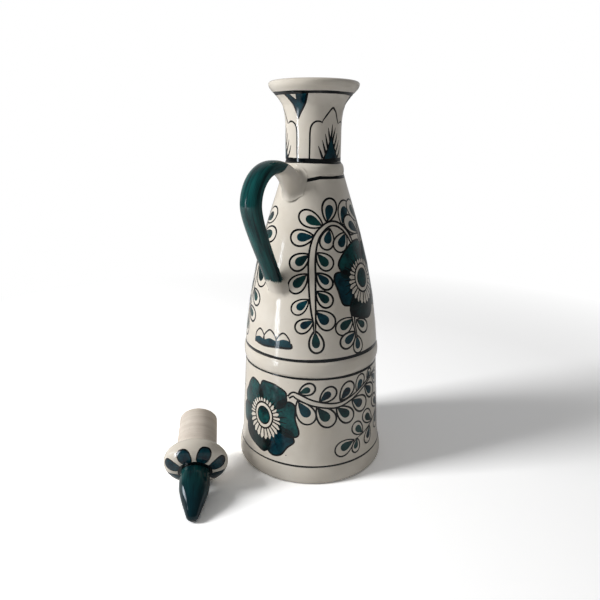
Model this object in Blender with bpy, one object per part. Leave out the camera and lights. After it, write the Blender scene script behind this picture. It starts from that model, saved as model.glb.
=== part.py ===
"""A ceramic oil bottle with a strap handle, and its stopper lying beside it.

The bottle stands on z = 0 with its axis on the Z axis. Nine pieces of clay make it up: the
turned ones are outlines spun about an axis, and the handle is a swept strap whose two roots are
cut to the curve of the body. Every size is in metres.
"""

import math

import bmesh
import bpy
from mathutils import Vector

# Clearances
SEAM = 0.0003  # slip line left between two pieces that are joined
PLUG_CLEARANCE = 0.0006  # running gap, on the radius, between the plug and the neck's bore

# Drum and foot
WAIST_RADIUS = 0.0490
WAIST_HEIGHT = 0.0850  # the seam between drum and shoulder
DRUM_TAPER = 0.0037  # how much wider the drum is just above the foot
FOOT_SPREAD = 0.0023  # how far the foot stands out from the drum
FOOT_HEIGHT = 0.0160
FOOT_BULGE_HEIGHT = 0.0083  # top of the foot's upright side
FOOT_CURVE = 0.0038  # softness of the two bends between foot and drum
FOOT_EDGE = 0.0026  # softness of the lower edge
WALL = 0.0045
FLOOR = 0.0060
FLOOR_CORNER = 0.0080  # softness of the inside corner

# Waist band
BAND_TALL = 0.0110
BAND_PROUD = 0.0009
BAND_EDGE = 0.0018  # softness of the band's two edges
BAND_SEAT = 0.0018  # depth of the rebate that the band lies in

# Shoulder: two straight flanks with a long soft bend
SHOULDER_HEIGHT = 0.1265  # above the waist seam
BEND_HEIGHT = 0.0534  # above the waist seam
BEND_DRAW_IN = 0.0046  # the bend's corner, in from the waist
BEND_SOFTNESS = 0.0340

# Neck and mouth
NECK_RADIUS = 0.0189
NECK_WALL = 0.0044
NECK_HEIGHT = 0.0586  # from the shoulder's top to the lip
NECK_SEAT = 0.0017  # depth of the rebate that the neck ring lies in
SHOULDER_LEDGE = 0.0023  # the shoulder's top, out from the neck
RING_TALL = 0.0080
RING_PROUD = 0.0025  # the neck ring, out from the neck
RING_CURVE = 0.0028  # softness of the ring's round side
RING_EDGE = 0.0010  # softness of its two edges
FLARE_DROP = 0.0205  # where the flare starts, below the lip
FLARE_CURVE = 0.0082  # softness there
FLARE_WAIST_DROP = 0.0125  # where the flare turns outward, below the lip
FLARE_WAIST_SPREAD = 0.0027  # how far out from the neck it is there
FLARE_WAIST_CURVE = 0.0050
LIP_SPREAD = 0.0113  # the lip, out from the neck
LIP_THICKNESS = 0.0050
LIP_TALL = 0.0036
LIP_EDGE = 0.0023

# Handle, in a vertical plane through the bottle's axis
HANDLE_BEARING = math.radians(-123.0)  # direction of that plane, from +X
HANDLE_TOP_ROOT = 0.0050  # root's centre, below the shoulder's top
HANDLE_SPAN = 0.0690  # between the centres of the two roots
HANDLE_RISE = 0.0106  # crown of the centreline, above the top root
HANDLE_BEND = 0.0222  # radius of the bend from crown to outermost point
HANDLE_STANDOFF = 0.0256  # outermost centreline, out from the lower root
STRAP_WIDTH = 0.0150
STRAP_THICKNESS = 0.0086
STRAP_LOW_WIDTH = 0.0105
NARROWING = (0.45, 0.80)  # shares of the strap's length between which it narrows
ROOT_WIDTH = 0.0178
ROOT_TALL = 0.0250
ROOT_FLARE = 0.0190  # length over which the top root swells
LOW_ROOT_WIDTH = 0.0150
LOW_ROOT_THICKNESS = 0.0050
LOW_ROOT_FLARE = 0.0160
ROOT_SINK = 0.0040  # how far both ends run on into the wall before the cut
SECTION_POWER = 0.8  # 1 is an ellipse, and less is a fuller oval

# How the centreline leaves its fixed points, as shares of the rise or the drop between them
LEAVES_TOP_ROOT = (0.38, 0.29)
REACHES_CROWN = (-0.33, 0.0)
LEAVES_BEND = (-0.01, -0.20)
REACHES_LOW_ROOT = (0.115, 0.27)

# Stopper, along its own axis from the finial's tip
FINIAL_LENGTH = 0.0340
FINIAL_RADIUS = 0.0107
FINIAL_WAIST = 0.0011 # how far the grip draws in again to its base
FINIAL_BELLY = 0.0260  # widest point, from the tip
FINIAL_FLANK = (0.80, 0.65)  # corner of the flank, as shares of the swell and of the belly
FINIAL_CURVE = 0.0055
TIP_RADIUS = 0.0030
TIP_CURVE = 0.0026
COLLAR_THICKNESS = 0.0150
COLLAR_PROUD = 0.0080  # the collar, out from the plug
COLLAR_DROP = 0.0011  # how far its grip side falls away from the grip's base
COLLAR_CURVE = 0.0093
COLLAR_PLUG_CURVE = 0.0084
PLUG_FOOT = 0.0014  # how far the plug spreads at the collar
PLUG_FOOT_TALL = 0.0022
PLUG_LENGTH = 0.0293
PLUG_TAPER = 0.0006
PLUG_WALL = 0.0036
PLUG_EDGE = 0.0024
PLUG_INNER_EDGE = 0.0009
HOLLOW_IN_COLLAR = 0.0100
HOLLOW_CURVE = 0.0058

# Where the stopper lies
TIP_ASIDE = 0.0187  # the tip, to the left of the foot's side
TIP_AHEAD = 0.0427  # the tip, in front of the foot's front
STOPPER_HEADING = math.radians(6.8)  # plug end's direction, from +Y towards -X

# Facets
BOTTLE_STEPS = 40
STOPPER_STEPS = 32
FACET_TURN = math.radians(24.0)  # turn of an outline from one facet to the next
FEWEST_FACETS = 3
STRAP_SIDES = 16
STRAP_RINGS = 30
PATH_STEPS = 40  # on each of the three stretches of the centreline
SHARP_TURN = math.radians(35.0)
MERGE = 1e-6
CIRCLE_PULL = 0.5523  # makes a cubic follow a circle on a square corner

# Heights and radii that follow from the sizes above
DRUM_BASE_RADIUS = WAIST_RADIUS + DRUM_TAPER
FOOT_RADIUS = DRUM_BASE_RADIUS + FOOT_SPREAD
BAND_BOTTOM = WAIST_HEIGHT - BAND_TALL / 2
BAND_TOP = WAIST_HEIGHT + BAND_TALL / 2
BAND_SEAT_RADIUS = WAIST_RADIUS - BAND_SEAT
BEND_RADIUS = WAIST_RADIUS - BEND_DRAW_IN
SHOULDER_TOP = WAIST_HEIGHT + SHOULDER_HEIGHT
SHOULDER_TOP_RADIUS = NECK_RADIUS + SHOULDER_LEDGE
RING_TOP = SHOULDER_TOP + RING_TALL
NECK_SEAM_HEIGHT = SHOULDER_TOP + RING_TALL / 2
NECK_SEAT_RADIUS = NECK_RADIUS - NECK_SEAT
NECK_BORE = NECK_RADIUS - NECK_WALL
LIP_TOP = SHOULDER_TOP + NECK_HEIGHT
LIP_RADIUS = NECK_RADIUS + LIP_SPREAD
FINIAL_BASE_RADIUS = FINIAL_RADIUS - FINIAL_WAIST
PLUG_RADIUS = NECK_BORE - PLUG_CLEARANCE
PLUG_FOOT_RADIUS = PLUG_RADIUS + PLUG_FOOT
PLUG_HOLLOW = PLUG_RADIUS - PLUG_TAPER - PLUG_WALL
COLLAR_RADIUS = PLUG_RADIUS + COLLAR_PROUD
COLLAR_START = FINIAL_LENGTH + SEAM
COLLAR_END = COLLAR_START + COLLAR_THICKNESS
PLUG_START = COLLAR_END + SEAM
PLUG_END = PLUG_START + PLUG_LENGTH


def clear_scene():
    """Removes every object that is already in the scene."""
    for obj in list(bpy.data.objects):
        bpy.data.objects.remove(obj, do_unlink=True)


def finish(name, colour, roughness):
    """Makes a Principled material of one colour."""
    material = bpy.data.materials.new(name)
    material.use_nodes = True
    shader = material.node_tree.nodes["Principled BSDF"]
    shader.inputs["Base Color"].default_value = (*colour, 1.0)
    shader.inputs["Roughness"].default_value = roughness
    shader.inputs["Metallic"].default_value = 0.0
    return material


def cubic(a, b, c, d, t):
    """Point at t on a cubic curve with end points a and d."""
    rest = 1.0 - t
    return a * rest**3 + b * (3 * rest * rest * t) + c * (3 * rest * t * t) + d * t**3


def rounding(start, corner, end, steps):
    """Points of a curve like an arc, from start to end, that leaves both along the corner's sides."""
    first = start.lerp(corner, CIRCLE_PULL)
    second = end.lerp(corner, CIRCLE_PULL)
    return [cubic(start, first, second, end, i / steps) for i in range(steps + 1)]


def softened(corners, closed=False):
    """Points of an outline whose corners are (radius, height) or (radius, height, softness).

    Softness is how far from the corner the rounding starts. Two soft corners share the side
    between them in proportion.
    """
    count = len(corners)
    places = [Vector(corner[:2]) for corner in corners]
    softness = [corner[2] if len(corner) > 2 else 0.0 for corner in corners]
    points = []
    for i, place in enumerate(places):
        at_end = not closed and i in (0, count - 1)
        if softness[i] == 0.0 or at_end:
            points.append(place)
            continue
        starts = []
        for j in ((i - 1) % count, (i + 1) % count):
            side = places[j] - place
            room = side.length * softness[i] / (softness[i] + softness[j])
            starts.append(place + side.normalized() * min(softness[i], room))
        turn = (place - starts[0]).angle(starts[1] - place)
        steps = max(FEWEST_FACETS, math.ceil(turn / FACET_TURN))
        points += rounding(starts[0], place, starts[1], steps)
    return points


def radius_at(outline, height):
    """Largest radius of an outline at a height."""
    found = 0.0
    for low, high in zip(outline, outline[1:]):
        if min(low.y, high.y) <= height <= max(low.y, high.y) and low.y != high.y:
            found = max(found, low.lerp(high, (height - low.y) / (high.y - low.y)).x)
    return found


def new_object(name, work, material):
    """Puts a bmesh into a new object and shades its round sides smooth."""
    bmesh.ops.remove_doubles(work, verts=work.verts, dist=MERGE)
    bmesh.ops.recalc_face_normals(work, faces=work.faces)
    mesh = bpy.data.meshes.new(name)
    work.to_mesh(mesh)
    work.free()
    mesh.shade_smooth()
    mesh.set_sharp_from_angle(angle=SHARP_TURN)
    obj = bpy.data.objects.new(name, mesh)
    bpy.context.scene.collection.objects.link(obj)
    if material is not None:
        mesh.materials.append(material)
    return obj


def turned(name, outline, steps, material):
    """Spins an outline about the Z axis. It is a loop, or a chain whose ends lie on the axis."""
    work = bmesh.new()
    verts = [work.verts.new((point.x, 0.0, point.y)) for point in outline]
    edges = [work.edges.new(pair) for pair in zip(verts, verts[1:])]
    if outline[0].x > 0.0:
        edges.append(work.edges.new((verts[-1], verts[0])))
    bmesh.ops.spin(
        work,
        geom=verts + edges,
        axis=(0.0, 0.0, 1.0),
        cent=(0.0, 0.0, 0.0),
        angle=math.tau,
        steps=steps,
        use_merge=True,
    )
    return new_object(name, work, material)


def foot_and_drum():
    """Corners of the outer side from the underside's edge to the top of the foot."""
    return [
        (FOOT_RADIUS, 0.0, FOOT_EDGE),
        (FOOT_RADIUS, FOOT_BULGE_HEIGHT, FOOT_CURVE),
        (DRUM_BASE_RADIUS, FOOT_HEIGHT, FOOT_CURVE),
    ]


def shoulder_flanks():
    """Corners of the outer side from the waist band's top to the neck ring."""
    return [
        (WAIST_RADIUS, BAND_TOP),
        (BEND_RADIUS, WAIST_HEIGHT + BEND_HEIGHT, BEND_SOFTNESS),
        (SHOULDER_TOP_RADIUS, SHOULDER_TOP),
    ]


def ring_side():
    """Corners of the neck ring's round side, from bottom to top."""
    low = SHOULDER_TOP + SEAM
    high = RING_TOP - SEAM
    return [
        (SHOULDER_TOP_RADIUS, low, RING_EDGE),
        (NECK_RADIUS + RING_PROUD, (low + high) / 2, RING_CURVE),
        (NECK_RADIUS + NECK_SEAT / 2, high, RING_EDGE),
    ]


def flare(inset):
    """Corners of the two bends of the flare, from the neck up, moved in by the wall."""
    return [
        (NECK_RADIUS - inset, LIP_TOP - FLARE_DROP, FLARE_CURVE),
        (
            NECK_RADIUS + FLARE_WAIST_SPREAD - inset,
            LIP_TOP - FLARE_WAIST_DROP,
            FLARE_WAIST_CURVE,
        ),
    ]


def lip():
    """Corners of the lip, from its outer side over the top to the funnel."""
    inner = LIP_RADIUS - LIP_THICKNESS
    return [
        (LIP_RADIUS, LIP_TOP - LIP_TALL, LIP_EDGE),
        (LIP_RADIUS, LIP_TOP, LIP_EDGE),
        (inner, LIP_TOP, LIP_EDGE),
        (inner, LIP_TOP - LIP_TALL, LIP_EDGE),
    ]


def make_lower_body(glaze):
    """The drum: a flat base, a flared foot and a wall with a rebate for the band."""
    outer = [(0.0, 0.0), *foot_and_drum(), (WAIST_RADIUS, BAND_BOTTOM)]
    rebate = [(BAND_SEAT_RADIUS, BAND_BOTTOM), (BAND_SEAT_RADIUS, WAIST_HEIGHT)]
    inner = [
        (WAIST_RADIUS - WALL, WAIST_HEIGHT),
        (DRUM_BASE_RADIUS - WALL, FLOOR, FLOOR_CORNER),
        (0.0, FLOOR),
    ]
    return turned("lower_body", softened(outer + rebate + inner), BOTTLE_STEPS, glaze)


def make_waist_band(glaze):
    """The band: a low ring in the rebate of drum and shoulder, round on the outside."""
    low = BAND_BOTTOM + SEAM
    high = BAND_TOP - SEAM
    inner = BAND_SEAT_RADIUS + SEAM
    outer = WAIST_RADIUS + BAND_PROUD
    corners = [(inner, low), (outer, low, BAND_EDGE), (outer, high, BAND_EDGE), (inner, high)]
    return turned("waist_band", softened(corners, closed=True), BOTTLE_STEPS, glaze)


def make_upper_body(glaze):
    """The shoulder: it stands on the drum's rim and narrows to the neck's bore."""
    foot = WAIST_HEIGHT + SEAM
    band_rebate = [(BAND_SEAT_RADIUS, foot), (BAND_SEAT_RADIUS, BAND_TOP)]
    ring_rebate = [(NECK_SEAT_RADIUS, SHOULDER_TOP), (NECK_SEAT_RADIUS, NECK_SEAM_HEIGHT)]
    inner = [
        (NECK_BORE, NECK_SEAM_HEIGHT),
        (NECK_BORE, SHOULDER_TOP - WALL, WALL),
        (BEND_RADIUS - WALL, WAIST_HEIGHT + BEND_HEIGHT, BEND_SOFTNESS),
        (WAIST_RADIUS - WALL, foot),
    ]
    corners = band_rebate + shoulder_flanks() + ring_rebate + inner
    return turned("upper_body", softened(corners, closed=True), BOTTLE_STEPS, glaze)


def make_neck_ring(glaze):
    """The ring at the foot of the neck, in the rebate of shoulder and neck."""
    side = ring_side()
    inner = NECK_SEAT_RADIUS + SEAM
    corners = [(inner, side[0][1]), *side, (inner, side[-1][1])]
    return turned("neck_ring", softened(corners, closed=True), BOTTLE_STEPS, glaze)


def make_neck(glaze):
    """The neck: a tube that flares to a funnel mouth with a rounded lip."""
    foot = NECK_SEAM_HEIGHT + SEAM
    rebate = [(NECK_SEAT_RADIUS, foot), (NECK_SEAT_RADIUS, RING_TOP)]
    outside = [(NECK_RADIUS, RING_TOP), *flare(0.0)]
    funnel = [*reversed(flare(NECK_WALL)), (NECK_BORE, foot)]
    corners = rebate + outside + lip() + funnel
    return turned("neck", softened(corners, closed=True), BOTTLE_STEPS, glaze)


def make_body_cutter():
    """The outer side of shoulder, ring and neck, grown by the slip line."""
    skin = softened([*shoulder_flanks(), *ring_side(), (NECK_RADIUS, RING_TOP), flare(0.0)[0][:2]])
    grown = [Vector((point.x + SEAM, point.y)) for point in skin]
    outline = [Vector((0.0, grown[0].y)), *grown, Vector((0.0, grown[-1].y))]
    cutter = turned("handle_cutter", outline, BOTTLE_STEPS, None)
    cutter.hide_render = True
    cutter.display_type = "WIRE"
    return cutter


def handle_path():
    """Centreline of the strap as points (distance from the bottle's axis, height)."""
    skin = softened(shoulder_flanks())
    top_height = SHOULDER_TOP - HANDLE_TOP_ROOT
    low_height = top_height - HANDLE_SPAN
    top_radius = radius_at(skin, top_height)
    low_radius = radius_at(skin, low_height)
    crown = Vector((low_radius + HANDLE_STANDOFF - HANDLE_BEND, top_height + HANDLE_RISE))
    outermost = crown + Vector((HANDLE_BEND, -HANDLE_BEND))
    top_root = Vector((top_radius - ROOT_SINK / 2, top_height - ROOT_SINK / 2))
    low_root = Vector((low_radius - ROOT_SINK / 2, low_height - ROOT_SINK))
    rise = (crown - top_root).length
    drop = outermost.y - low_root.y
    to_crown = (
        top_root,
        top_root + Vector(LEAVES_TOP_ROOT) * rise,
        crown + Vector(REACHES_CROWN) * rise,
        crown,
    )
    to_low_root = (
        outermost,
        outermost + Vector(LEAVES_BEND) * drop,
        low_root + Vector(REACHES_LOW_ROOT) * drop,
        low_root,
    )
    path = [cubic(*to_crown, i / PATH_STEPS) for i in range(PATH_STEPS)]
    for i in range(PATH_STEPS):
        turn = math.pi / 2 * i / PATH_STEPS
        path.append(crown + Vector((math.sin(turn), math.cos(turn) - 1.0)) * HANDLE_BEND)
    path += [cubic(*to_low_root, i / PATH_STEPS) for i in range(PATH_STEPS + 1)]
    return path


def evenly(path, count):
    """Points at equal steps along a path, each with its distance from the start."""
    runs = [(b - a).length for a, b in zip(path, path[1:])]
    total = sum(runs)
    places = []
    index = 0
    passed = 0.0
    for i in range(count):
        wanted = total * i / (count - 1)
        while index < len(runs) - 1 and passed + runs[index] < wanted:
            passed += runs[index]
            index += 1
        share = min(1.0, (wanted - passed) / runs[index])
        places.append((path[index].lerp(path[index + 1], share), wanted))
    return places, total


def ease(value):
    """Smooth step from 0 to 1."""
    value = min(1.0, max(0.0, value))
    return value * value * (3.0 - 2.0 * value)


def strap_section(distance, total):
    """Width and thickness of the strap at a distance along it."""
    start, end = NARROWING
    narrow = ease((distance / total - start) / (end - start))
    top_swell = max(0.0, 1.0 - distance / ROOT_FLARE) ** 2
    low_swell = max(0.0, 1.0 - (total - distance) / LOW_ROOT_FLARE) ** 2
    width = STRAP_WIDTH + (STRAP_LOW_WIDTH - STRAP_WIDTH) * narrow
    width += (ROOT_WIDTH - STRAP_WIDTH) * top_swell
    width += (LOW_ROOT_WIDTH - STRAP_LOW_WIDTH) * low_swell
    thickness = STRAP_THICKNESS + (ROOT_TALL - STRAP_THICKNESS) * top_swell
    thickness += (LOW_ROOT_THICKNESS - STRAP_THICKNESS) * low_swell
    return width, thickness


def oval(side):
    """Point of a full oval, two units across, at one of the strap's sides."""
    angle = math.tau * side / STRAP_SIDES
    across = math.copysign(abs(math.cos(angle)) ** SECTION_POWER, math.cos(angle))
    raised = math.copysign(abs(math.sin(angle)) ** SECTION_POWER, math.sin(angle))
    return across, raised


def make_handle(teal):
    """The strap: oval sections along its centreline, cut to the curve of the body."""
    places, total = evenly(handle_path(), STRAP_RINGS)
    work = bmesh.new()
    rings = []
    for i, (place, distance) in enumerate(places):
        before = places[max(0, i - 1)][0]
        after = places[min(STRAP_RINGS - 1, i + 1)][0]
        along = (after - before).normalized()
        outward = Vector((-along.y, along.x))
        width, thickness = strap_section(distance, total)
        ring = []
        for side in range(STRAP_SIDES):
            across, raised = oval(side)
            spot = place + outward * raised * thickness / 2
            ring.append(work.verts.new((spot.x, across * width / 2, spot.y)))
        rings.append(ring)
    for ring, following in zip(rings, rings[1:]):
        for side in range(STRAP_SIDES):
            other = (side + 1) % STRAP_SIDES
            work.faces.new((ring[side], ring[other], following[other], following[side]))
    work.faces.new(rings[0])
    work.faces.new(rings[-1])
    handle = new_object("handle", work, teal)
    handle.rotation_euler.z = HANDLE_BEARING
    cut = handle.modifiers.new("body_curve", "BOOLEAN")
    cut.operation = "DIFFERENCE"
    cut.object = make_body_cutter()
    return handle


def finial_outline():
    """The pointed grip, from its rounded tip to its base."""
    flank_radius = TIP_RADIUS + (FINIAL_RADIUS - TIP_RADIUS) * FINIAL_FLANK[0]
    return softened(
        [
            (0.0, 0.0),
            (TIP_RADIUS, 0.0, TIP_CURVE),
            (flank_radius, FINIAL_BELLY * FINIAL_FLANK[1], FINIAL_CURVE),
            (FINIAL_RADIUS, FINIAL_BELLY, FINIAL_CURVE),
            (FINIAL_BASE_RADIUS, FINIAL_LENGTH),
            (0.0, FINIAL_LENGTH),
        ]
    )


def collar_outline():
    """The fat ring between grip and plug, with the end of the plug's hollow in it."""
    return softened(
        [
            (0.0, COLLAR_START),
            (FINIAL_BASE_RADIUS + SEAM, COLLAR_START),
            (COLLAR_RADIUS, COLLAR_START + COLLAR_DROP, COLLAR_CURVE),
            (COLLAR_RADIUS, COLLAR_END, COLLAR_PLUG_CURVE),
            (PLUG_FOOT_RADIUS, COLLAR_END),
            (PLUG_HOLLOW, COLLAR_END),
            (PLUG_HOLLOW, COLLAR_END - HOLLOW_IN_COLLAR, HOLLOW_CURVE),
            (0.0, COLLAR_END - HOLLOW_IN_COLLAR),
        ]
    )


def plug_outline():
    """The tube that goes into the neck, open at its far end."""
    return softened(
        [
            (PLUG_HOLLOW, PLUG_START),
            (PLUG_FOOT_RADIUS, PLUG_START),
            (PLUG_RADIUS, PLUG_START + PLUG_FOOT_TALL, PLUG_FOOT),
            (PLUG_RADIUS - PLUG_TAPER, PLUG_END, PLUG_EDGE),
            (PLUG_HOLLOW, PLUG_END, PLUG_INNER_EDGE),
        ],
        closed=True,
    )


def lying_tilt(finial, collar):
    """Rise of the stopper's axis when its grip and its collar both touch the ground.

    It is the slope of the one straight line that touches both outlines from outside.
    """
    slopes = []
    for low in finial:
        slopes.append(max((high.x - low.x) / (high.y - low.y) for high in collar))
    return math.atan(min(slopes))


def make_stopper(glaze, teal, bisque):
    """The three stopper pieces, on an empty that sets how they lie."""
    finial = finial_outline()
    collar = collar_outline()
    tilt = lying_tilt(finial, collar)
    reach = max(point.x * math.cos(tilt) - point.y * math.sin(tilt) for point in finial + collar)
    lift = bpy.data.objects.new("stopper_lift", None)
    bpy.context.scene.collection.objects.link(lift)
    lift.location = (-FOOT_RADIUS - TIP_ASIDE, -FOOT_RADIUS - TIP_AHEAD, reach)
    lift.rotation_euler = (tilt - math.pi / 2, 0.0, STOPPER_HEADING)
    pieces = [
        turned("stopper_finial", finial, STOPPER_STEPS, teal),
        turned("stopper_collar", collar, STOPPER_STEPS, glaze),
        turned("stopper_plug", plug_outline(), STOPPER_STEPS, bisque),
    ]
    for piece in pieces:
        piece.parent = lift
    print("stopper axis rises", round(math.degrees(tilt), 2), "degrees")


def main():
    """Builds the bottle and its stopper in an empty scene."""
    clear_scene()
    glaze = finish("cream_glaze", (0.72, 0.67, 0.59), 0.18)
    teal = finish("teal_glaze", (0.01, 0.09, 0.085), 0.15)
    bisque = finish("bare_clay", (0.55, 0.48, 0.40), 0.75)
    make_lower_body(glaze)
    make_waist_band(glaze)
    make_upper_body(glaze)
    make_neck_ring(glaze)
    make_neck(glaze)
    make_handle(teal)
    make_stopper(glaze, teal, bisque)
    bpy.context.view_layer.update()


main()
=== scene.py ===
# %% [markdown]
# # A painted oil bottle and its stopper
# The bottle is cream earthenware, thrown in a few parts, painted by hand in black and teal, and
# dipped in a clear gloss glaze. Its stopper lies in front of it, on its side.
# The CAD model fixes where every piece is. This script dresses each piece: it gives the clay its
# soft bends, paints the ornament as real patches of its surface, and lights the scene.

# %% Load the frame
import math
import random

import bpy
import numpy as np
from mathutils import Matrix, Vector
from mathutils.geometry import delaunay_2d_cdt


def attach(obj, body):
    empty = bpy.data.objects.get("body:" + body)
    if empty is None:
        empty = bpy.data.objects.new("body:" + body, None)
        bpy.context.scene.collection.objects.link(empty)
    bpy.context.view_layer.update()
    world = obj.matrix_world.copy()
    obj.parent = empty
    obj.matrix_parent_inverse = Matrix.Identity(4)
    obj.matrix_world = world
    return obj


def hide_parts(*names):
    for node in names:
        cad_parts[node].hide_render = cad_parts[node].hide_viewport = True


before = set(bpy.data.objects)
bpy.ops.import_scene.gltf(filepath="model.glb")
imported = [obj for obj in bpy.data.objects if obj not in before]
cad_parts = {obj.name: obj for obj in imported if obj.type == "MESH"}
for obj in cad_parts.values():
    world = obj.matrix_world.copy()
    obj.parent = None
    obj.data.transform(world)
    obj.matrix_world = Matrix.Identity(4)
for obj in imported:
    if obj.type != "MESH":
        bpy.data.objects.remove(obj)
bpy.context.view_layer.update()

MM = 0.001


def add_object(name, data):
    """Puts a new object with this data in the scene."""
    obj = bpy.data.objects.new(name, data)
    bpy.context.scene.collection.objects.link(obj)
    return obj


# %% [markdown]
# ## Camera
# The photograph looks slightly down at the bottle from close by. A camera is an object whose
# local -Z axis is the way it looks, so its matrix is built from three directions: right, up and
# backwards. Pitch, yaw and a very small roll come from how the bottle stands in the picture.

# %% Camera at the photograph's angle
CAMERA_PLACE = Vector((0.0, -0.3824, 0.2351))
CAMERA_PITCH = math.radians(16.78)
CAMERA_YAW = math.radians(-1.26)
CAMERA_ROLL = math.radians(0.32)
LENS, SENSOR, CLIP_START = 32.4, 36.0, 0.01


def camera_axes():
    """Directions of the camera's right, up and back."""
    forward = Vector(
        (
            math.sin(CAMERA_YAW) * math.cos(CAMERA_PITCH),
            math.cos(CAMERA_YAW) * math.cos(CAMERA_PITCH),
            -math.sin(CAMERA_PITCH),
        )
    )
    level = Vector((math.cos(CAMERA_YAW), -math.sin(CAMERA_YAW), 0.0))
    upward = level.cross(forward)
    right = math.cos(CAMERA_ROLL) * level + math.sin(CAMERA_ROLL) * upward
    up = math.cos(CAMERA_ROLL) * upward - math.sin(CAMERA_ROLL) * level
    return right, up, -forward


lens = bpy.data.cameras.new("camera")
lens.lens = LENS
lens.sensor_width = SENSOR
lens.sensor_fit = "HORIZONTAL"
lens.clip_start = CLIP_START
camera = add_object("camera", lens)
camera_turn = Matrix(camera_axes()).transposed()
camera.matrix_world = Matrix.Translation(CAMERA_PLACE) @ camera_turn.to_4x4()
bpy.context.scene.camera = camera
print("camera looks", [round(part, 3) for part in -camera_axes()[2]])

# %% [markdown]
# ## Sockets that add up
# Shader nodes are sums drawn as boxes. Written in Python they read better as sums: the class
# below wraps one output socket, so that `1 - mask` or `streaks * 0.5` adds the Math node it
# needs. Every other node comes from one method of the board that holds a material's nodes.


# %% Boards and sockets
class Wire:
    """An output socket, on which sums of values can be written."""

    def __init__(self, board, socket):
        self.board = board
        self.socket = socket

    def beside(self, output):
        """Another output of the same node."""
        return Wire(self.board, self.socket.node.outputs[output])

    def maths(self, operation, first, second=0.0):
        """The Math node for one operation."""
        return self.board.node("ShaderNodeMath", {"operation": operation}, {0: first, 1: second})

    def __abs__(self):
        return self.maths("ABSOLUTE", self)

    def __add__(self, other):
        return self.maths("ADD", self, other)

    def __sub__(self, other):
        return self.maths("SUBTRACT", self, other)

    def __rsub__(self, other):
        return self.maths("SUBTRACT", other, self)

    def __mul__(self, other):
        return self.maths("MULTIPLY", self, other)

    def __rmul__(self, other):
        return self.maths("MULTIPLY", other, self)

    def __gt__(self, other):
        return self.maths("GREATER_THAN", self, other)

    def __lt__(self, other):
        return self.maths("LESS_THAN", self, other)


class Board:
    """The nodes of one material or of the world."""

    def __init__(self, owner):
        owner.use_nodes = True
        self.owner = owner
        self.tree = owner.node_tree
        self.tree.nodes.clear()

    def node(self, kind, settings=None, inputs=None, output=0):
        """Adds a node: first its settings, then the values or wires of its inputs."""
        made = self.tree.nodes.new(kind)
        for name, value in (settings or {}).items():
            if name == "stops":
                self.set_stops(made.color_ramp, value)
            else:
                setattr(made, name, value)
        for name, value in (inputs or {}).items():
            if isinstance(value, Wire):
                self.tree.links.new(value.socket, made.inputs[name])
            else:
                made.inputs[name].default_value = value
        return Wire(self, made.outputs[output]) if made.outputs else None

    def set_stops(self, ramp, stops):
        """Fills a ramp with stops (place, value)."""
        while len(ramp.elements) < len(stops):
            ramp.elements.new(1.0)
        for element, (place, value) in zip(ramp.elements, stops):
            element.position = place
            element.color = (value, value, value, 1.0)

    def ramp(self, value, *stops):
        """A value sent through a ramp."""
        return self.node("ShaderNodeValToRGB", {"stops": stops}, {"Fac": value})

    def mix(self, share, one, other):
        """A colour between two colours."""
        values = {0: share, 6: one, 7: other}
        return self.node("ShaderNodeMix", {"data_type": "RGBA"}, values, output=2)

    def clamp(self, value):
        """A value kept between 0 and 1."""
        return self.node("ShaderNodeClamp", inputs={"Value": value})

    def noise(self, place, scale, detail=2.0, rough=0.5):
        """Soft noise from 0 to 1 at a place in the piece."""
        values = {"Vector": place, "Scale": scale, "Detail": detail, "Roughness": rough}
        return self.node("ShaderNodeTexNoise", {"noise_dimensions": "3D"}, values)

    def place(self):
        """Where a point is on the piece, in metres."""
        return self.node("ShaderNodeTexCoord", output=3)

    def unrolled(self):
        """Share of the way round and share of the way along, from the piece's flat map."""
        flat = self.node("ShaderNodeTexCoord", output=2)
        around = self.node("ShaderNodeSeparateXYZ", inputs={0: flat})
        return around, around.beside(1)

    def vector(self, x, y, z=0.0):
        """A vector from its parts."""
        return self.node("ShaderNodeCombineXYZ", inputs={0: x, 1: y, 2: z})

    def attribute(self, name):
        """A number that the mesh carries."""
        return self.node("ShaderNodeAttribute", {"attribute_name": name}, output=2)

    def bump(self, height, distance, strength=1.0, under=None):
        """Normals bent by a height."""
        values = {"Height": height, "Distance": distance, "Strength": strength}
        if under is not None:
            values["Normal"] = under
        return self.node("ShaderNodeBump", inputs=values)

    def finish(self, values):
        """The Principled shader and the material's output."""
        shader = self.node("ShaderNodeBsdfPrincipled", inputs=values)
        self.node("ShaderNodeOutputMaterial", inputs={"Surface": shader})
        return self.owner


def colour(red, green, blue):
    """A colour for a socket, in linear light."""
    return (red, green, blue, 1.0)


# %% [markdown]
# ## The painted glaze
# Under the gloss lie three colours: the cream of the body, a blue-black line and a teal wash.
# Each face of the mesh carries a number that says which one it has, and the material mixes the
# colours by that number. Nothing on pottery is quite even, so the cream is slightly warmer in
# places and holds a few specks, the wash pools darker, and the line thins where the brush ran dry.

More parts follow.
